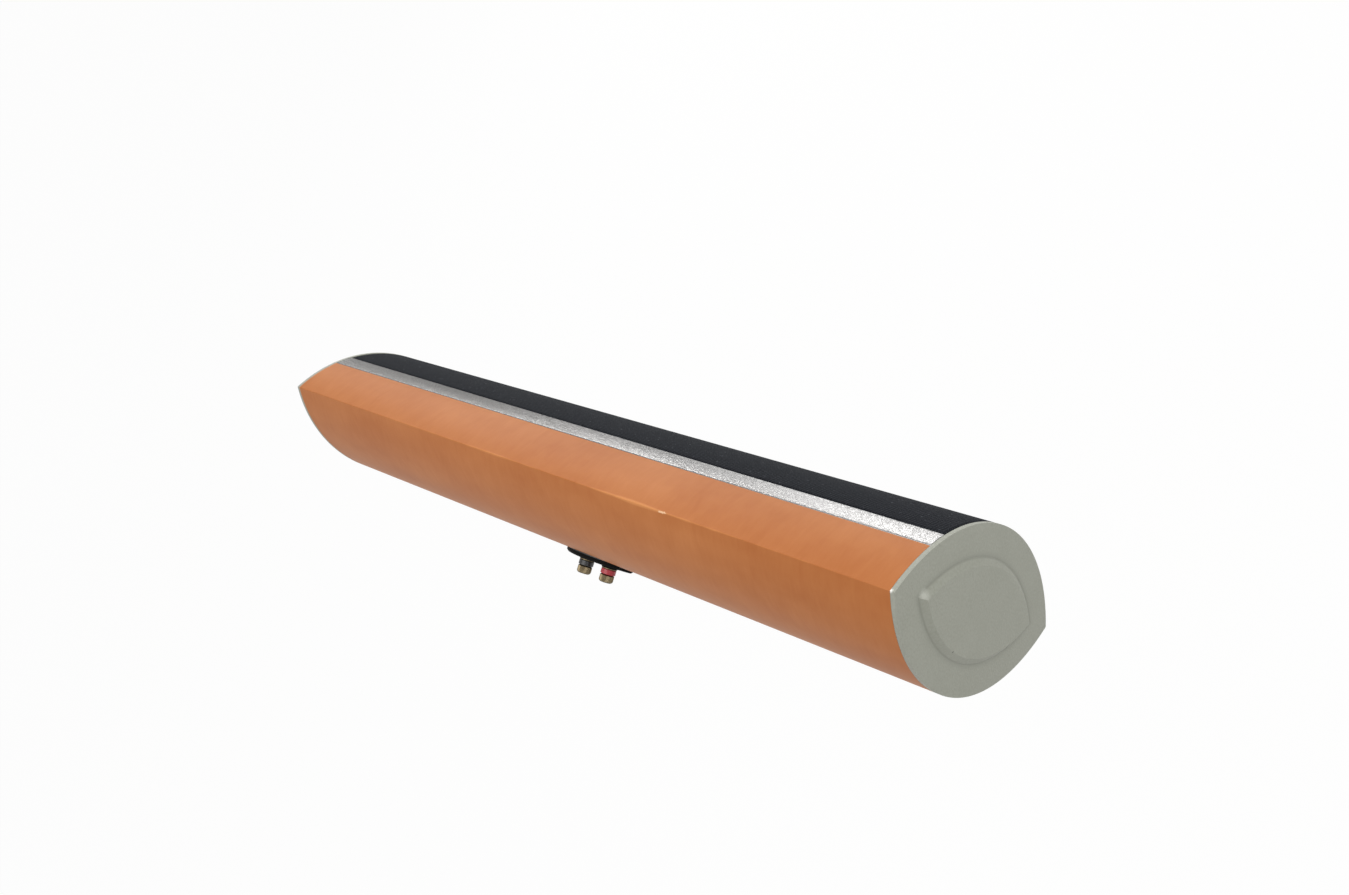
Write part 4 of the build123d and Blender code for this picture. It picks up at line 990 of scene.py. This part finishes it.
def turned_ring(node, bore, x, body, material):
    low, high = corners(node)
    radius, back, top = high.z, low.y, high.y
    outline = [(bore, back), (radius - EDGE, back), (radius, back + EDGE), (radius, top - EDGE)]
    outline += [(radius - EDGE, top), (bore, top), (bore, back)]
    piece = lathe(node + "_turned", outline, x, RING_STEPS)
    bpy.ops.object.mode_set(mode="OBJECT")
    soften(piece, degrees=35)
    piece.data.materials.append(material)
    attach(piece, body, node)


# %% Knobs
KNURLS = 48
KNURL_DEPTH = 0.18 * MM
KNOB_BEVEL = 0.8 * MM
KNOB_ROUND = 1.3 * MM
QUARTER_STEPS = 3
knob_turns = [math.pi / 2 * i / QUARTER_STEPS for i in range(QUARTER_STEPS + 1)]


def knob_outline(low, high, ring_top):
    grip, top = high.z, high.y
    outline = [(BORE, low.y), (SPIGOT, low.y), (SPIGOT, ring_top), (grip - KNOB_BEVEL, ring_top)]
    outline += [(grip, ring_top + KNOB_BEVEL)]
    for turn in knob_turns:
        radius = grip - KNOB_ROUND * (1 - math.cos(turn))
        outline += [(radius, top - KNOB_ROUND * (1 - math.sin(turn)))]
    return outline + [(BORE + EDGE, top), (BORE, top - EDGE), (BORE, low.y)]


def knurl(knob, x, grip):
    def in_groove(place):
        radius = math.hypot(place.x - x, place.z)
        line = round(math.atan2(place.z, place.x - x) / math.pi * KNURLS)
        return near(radius, grip) and line % 2 == 1

    pick(knob, in_groove)
    shrink = 1 - KNURL_DEPTH / grip
    bpy.ops.transform.resize(value=(shrink, 1, shrink), center_override=(x, 0, 0))


def knurled_knob(node, x, ring_top, body):
    low, high = corners(node)
    knob = lathe(node + "_knurled", knob_outline(low, high, ring_top), x, 2 * KNURLS)
    knurl(knob, x, high.z)
    bpy.ops.object.mode_set(mode="OBJECT")
    soften(knob, degrees=25)
    knob.data.materials.append(gold)
    attach(knob, body, node)


# %% Binding posts
for name in ("red", "black"):
    ring = "post_ring_" + name
    ring_low, ring_high = corners(ring)
    post_x = (ring_low.x + ring_high.x) / 2
    turned_ring(ring, SPIGOT, post_x, name + "_knob", ring_plastic[name])
    turned_ring("post_washer_" + name, BORE, post_x, name + "_washer", gold)
    knurled_knob("post_knob_" + name, post_x, ring_high.y, name + "_knob")

# %% [markdown]
# ## Screws
#
# The baffle, the drivers and the terminal plate are held by countersunk screws with a cross recess. A plain
# disc would do from afar. Here one head is turned on the lathe, the cross is cut into it with two tapered
# blades, and the head is copied to every place, each copy with its own mesh. Only the heads are made, since
# the shanks are inside the wood.

# %% Screw head
HEAD_RADIUS = 2.1 * MM
HEAD_HEIGHT = 1.4 * MM
HEAD_EDGE = 0.1 * MM
HEAD_FOOT = 0.75 * HEAD_RADIUS
RECESS = Vector((1.25 * MM, 0.9 * MM, 0.35 * MM))
RECESS_TAPER = (0.5, 1, 0.8)

# blackened zinc on steel: dark, with brighter spots where the driver rubbed it
zinc = plated_metal("zinc_steel_black", "#2B2B2D", "#6E6F72", glossiest=0.28, dullest=0.5, grain=1.1 * MM)
outline = [(0, 0), (HEAD_RADIUS - HEAD_EDGE, 0), (HEAD_RADIUS, HEAD_EDGE), (HEAD_FOOT, HEAD_HEIGHT)]
head = lathe("screw_head", outline + [(0, HEAD_HEIGHT)], 0, steps=32)
bpy.ops.object.mode_set(mode="OBJECT")
for turn in (0, math.pi / 2):
    blade = block("recess_blade", -RECESS, RECESS)
    pick(blade, lambda place: place.y > 0)
    bpy.ops.transform.resize(value=RECESS_TAPER, center_override=(0, RECESS.y, 0))
    bpy.ops.mesh.select_all(action="SELECT")
    bpy.ops.transform.rotate(value=turn, orient_axis="Y", center_override=(0, 0, 0))
    bpy.ops.object.mode_set(mode="OBJECT")
    cut(head, blade)
soften(head, degrees=30)
head.data.materials.append(zinc)
report(head)

# %% Screws
BAFFLE_SCREWS_X = (70 * MM, 168 * MM)
BAFFLE_SCREWS_Z = 43.5 * MM
WOOFER_X = 115 * MM
WOOFER_RING = 41.8 * MM
TWEETER_RING = 25.3 * MM
TERMINAL_SCREWS_X = 22.6 * MM
FRONT_TURN = 0.7
TERMINAL_TURN = 0.9
BAFFLE_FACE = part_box("front_baffle")[0][1]
PLATE_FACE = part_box("terminal_plate")[1][1]


def four_round(x, reach_x, reach_z):
    return [(x + i * reach_x, j * reach_z) for i in (-1, 1) for j in (-1, 1)]


def copy_screw(name, place, turn, node, flip=False):
    choose(head)
    bpy.ops.object.duplicate()
    screw = bpy.context.object
    screw.name = screw.data.name = name
    bpy.ops.object.mode_set(mode="EDIT")
    bpy.ops.mesh.select_all(action="SELECT")
    bpy.ops.transform.rotate(value=turn, orient_axis="Y", center_override=(0, 0, 0))
    if flip:
        bpy.ops.transform.rotate(value=math.pi, orient_axis="X", center_override=(0, 0, 0))
    bpy.ops.transform.translate(value=place)
    bpy.ops.object.mode_set(mode="OBJECT")
    attach(screw, "cabinet", node)


front_screws = []
for x in BAFFLE_SCREWS_X:
    front_screws += four_round(0, x, BAFFLE_SCREWS_Z)
diagonal = math.sqrt(0.5)
for x in (-WOOFER_X, WOOFER_X):
    front_screws += four_round(x, WOOFER_RING * diagonal, WOOFER_RING * diagonal)
front_screws += four_round(0, TWEETER_RING * diagonal, TWEETER_RING * diagonal)
for i, (x, z) in enumerate(front_screws):
    copy_screw("front_screw_%02d" % (i + 1), (x, BAFFLE_FACE, z), FRONT_TURN * i, "front_screws")
for i, x in enumerate((-TERMINAL_SCREWS_X, TERMINAL_SCREWS_X)):
    place = (x, PLATE_FACE, 0)
    copy_screw("terminal_screw_%d" % (i + 1), place, TERMINAL_TURN * i, "terminal_screws", flip=True)
bpy.data.objects.remove(head)
print("front screws", len(front_screws))

# %% [markdown]
# ## Drivers
#
# The drivers show when the grille is off. Apart from their screws and surrounds, their shapes come from the
# engineering model and only need materials, since a second model would show no more. The cones are pressed
# paper, whose pulp gives a cloudy black and a rough skin. The fibres are finer than a pixel and are drawn
# 1.9 mm wide. The other pieces have a tone, a gloss and a relief of their own.

# %% Cone paper
SIDES = ("left", "right")
PAPER_FIBRE = 1.9 * MM
PULP = 11 * MM
PULP_SHARE = 0.4


def dress(material, *names):
    for name in names:
        mesh = frame["nodes"][name].data
        mesh.materials.clear()
        mesh.materials.append(material)


paper, tree, shader = new_material("cone_paper_black")
place = add(tree, "TexCoord").outputs["Object"]
fibre = add(tree, "TexNoise", {"Vector": place, "Scale": 1 / PAPER_FIBRE, "Detail": 6.0, "Roughness": 0.7})
pulp = add(tree, "TexNoise", {"Vector": place, "Scale": 1 / PULP, "Detail": 2.0})
both = add(tree, "Math", {0: pulp, 1: PULP_SHARE, 2: fibre}, operation="MULTIPLY_ADD")
tone = add(tree, "MapRange", {"Value": both, "From Min": 0.45, "From Max": 0.95})
black = add(tree, "Mix", {0: tone, 6: colour("#17171A"), 7: colour("#3A3A3C")}, data_type="RGBA")
relief = add(tree, "Bump", {"Height": both, "Strength": 0.5, "Distance": 0.6 * MM})
feed(tree, shader, {"Base Color": black.outputs[2], "Roughness": 0.75, "Normal": relief})
for side in SIDES:
    dress(paper, "woofer_%s_cone" % side, "woofer_%s_dust_cap" % side)
print(paper.name, len(tree.nodes), "nodes")

# %% Drivers
# soft rubber: deep black with a faint, broad shine
rubber = two_tone("rubber_black", "#121213", "#242425", roughness=0.42, grain=2 * MM)
dress(rubber, "grille_sockets", "woofer_gaskets", "terminal_gasket")
# lacquered steel: black with the fine skin of a sprayed coat
basket = two_tone("basket_steel_lacquered", "#17181A", "#2A2B2E", roughness=0.38, grain=0.9 * MM, bumps=0.2)
dress(basket, "woofer_left_frame", "woofer_right_frame")
# cloth stiffened with resin: a warm, dull brown
spider = two_tone("spider_cloth_resin", "#8C5E2C", "#B98544", roughness=0.8, grain=0.7 * MM, bumps=0.5)
dress(spider, "woofer_left_spider", "woofer_right_spider")
# coated silk: nearly black, with a silky shine
dome_silk = two_tone("dome_silk_coated", "#1B1A1D", "#302F34", roughness=0.35, grain=0.8 * MM, bumps=0.25)
dress(dome_silk, "tweeter_dome")
# moulded plastic: black with a spark-eroded grain
faceplate = two_tone(
    "faceplate_plastic_black", "#161617", "#262628", roughness=0.45, grain=0.8 * MM, bumps=0.2
)
dress(faceplate, "tweeter_faceplate")
dress(black_board, "front_baffle")

# %% [markdown]
# ## Woofer surrounds
#
# A surround is a half roll of rubber, glued to the basket outside and to the cone inside, so it has to
# stretch when the cone moves. The roll is turned on the lathe. A blend between two bodies usually follows a
# straight line. A ring gives way from its outside to its inside, so its weights are written once more, by
# the distance from the axis.

# %% Woofer surrounds
SHEET = 0.6 * MM
CONE_EDGE = 2.4 * MM
ROLL_STEPS = 12
turns = [math.pi * i / ROLL_STEPS for i in range(ROLL_STEPS + 1)]


def weigh_by_radius(piece, x, held, moved):
    weights = piece.data.attributes["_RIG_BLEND"].data
    for vertex, weight in zip(piece.data.vertices, weights):
        radius = math.hypot(vertex.co.x - x, vertex.co.z)
        share = min(max((held - radius) / (held - moved), 0), 1)
        # eases in and out, so that the roll has no crease at its edges
        weight.value = share * share * (3 - 2 * share)


for side in SIDES:
    node = "woofer_%s_surround" % side
    cone = "woofer_%s_cone" % side
    low, high = corners(node)
    axis_x = (low.x + high.x) / 2
    rim = high.x - axis_x
    lip = high.y - SHEET
    outside = lip - low.y
    inside = outside - SHEET
    cone_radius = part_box(cone)[1][0] - axis_x
    roll = cone_radius + outside - SHEET / 2
    lap = cone_radius - CONE_EDGE
    outline = [(lap, lip)]
    outline += [(roll - outside * math.cos(turn), lip - outside * math.sin(turn)) for turn in turns]
    outline += [(rim, lip), (rim, high.y)]
    outline += [(roll + inside * math.cos(turn), high.y - inside * math.sin(turn)) for turn in turns]
    outline += [(lap, high.y), (lap, lip)]
    surround = lathe(node + "_rubber", outline, axis_x, steps=96)
    bpy.ops.object.mode_set(mode="OBJECT")
    soften(surround, degrees=40)
    surround.data.materials.append(rubber)
    held, moved = roll + outside, roll - outside
    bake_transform(surround, "cabinet", cone, start=(axis_x + held, lip, 0), end=(axis_x + moved, lip, 0))
    weigh_by_radius(surround, axis_x, held, moved)
    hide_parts(node)
    report(surround)

# %% [markdown]
# ## Back and inside
#
# The terminal plate is moulded black plastic, the inserts are brass. Inside are raw fibreboard, felt,
# magnets, plated steel, copper wire and the parts of the crossover. They are seldom seen and could share a
# plain grey, but the model can be opened. So each gets a material of two tones at the scale of its own grain,
# drawn about a millimetre wide where the real one is finer.

# %% Back and front frame
# matt moulded plastic: black, made darker still as painted shade for the shade the plate sits in
terminal_black_painted_shade = two_tone(
    "terminal_plastic_black_painted_shade", "#080808", "#101010", roughness=0.6, grain=0.7 * MM, bumps=0.25, sheen=0.05
)
dress(terminal_black_painted_shade, "terminal_plate", "post_bushes")
# moulded plastic: plain black behind the cloth
frame_black = two_tone("grille_plastic_black", "#161617", "#242425", roughness=0.5, grain=0.9 * MM, bumps=0.2)
dress(frame_black, "grille_frame")
dress(gold, "post_stud_red", "post_stud_black", "post_nuts", "solder_tags")

# %% Boards and crossover
# pressed fibre: warm brown and dull
raw_board = two_tone("fibreboard_raw", "#8E6B46", "#B8946A", roughness=0.85, grain=1.2 * MM, bumps=0.4)
dress(raw_board, "end_panel_left", "end_panel_right", "board_cleats")
# felt: a flecked grey that takes no shine
felt = two_tone("felt_grey", "#5B5C5E", "#8B8C8E", roughness=0.95, grain=1.6 * MM, bumps=0.9)
dress(felt, "damping_mats")
# glass board under solder mask: a smooth green
circuit_board = two_tone("circuit_board_green", "#1E4A2F", "#2C6641", roughness=0.4, grain=2.5 * MM)
dress(circuit_board, "crossover_board")
# cast cement: chalky and pale
cement = two_tone("resistor_cement", "#C9C5BA", "#E4E1D8", roughness=0.85, grain=0.8 * MM, bumps=0.4)
dress(cement, "crossover_resistor")
# wrapped film: a glossy blue
film = two_tone("capacitor_film_blue", "#1F3C66", "#2D5285", roughness=0.35, grain=2 * MM)
dress(film, "crossover_capacitors")
# soft jacket: grey with a low shine
jacket = two_tone("lead_jacket_grey", "#3A3A3D", "#57575B", roughness=0.45, grain=1.5 * MM)
dress(jacket, "hookup_leads")
# pressed and fired ferrite: a dull dark grey
ferrite = two_tone("ferrite_grey", "#2E2F31", "#4A4B4E", roughness=0.7, grain=1.1 * MM, bumps=0.3)
dress(ferrite, "woofer_left_magnet", "woofer_right_magnet", "tweeter_magnet")

# %% Metals inside
# zinc on steel: a bright, cool grey
steel = plated_metal("zinc_steel", "#8F9398", "#C2C5C9", glossiest=0.25, dullest=0.45, grain=1.5 * MM)
for side in SIDES:
    dress(steel, "woofer_%s_top_plate" % side, "woofer_%s_yoke" % side)
dress(steel, "tweeter_top_plate", "tweeter_yoke", "board_screws")
# turned brass: a warm yellow
brass = plated_metal("insert_brass", "#9A7A3C", "#C9A862", glossiest=0.3, dullest=0.45, grain=1.2 * MM)
dress(brass, "wall_inserts")
# enamelled copper wire: a warm, uneven red
copper = plated_metal("coil_copper", "#8A4B27", "#C27A48", glossiest=0.3, dullest=0.5, grain=0.9 * MM)
dress(copper, "crossover_inductor", "tweeter_coil", "woofer_left_voice_coil", "woofer_right_voice_coil")
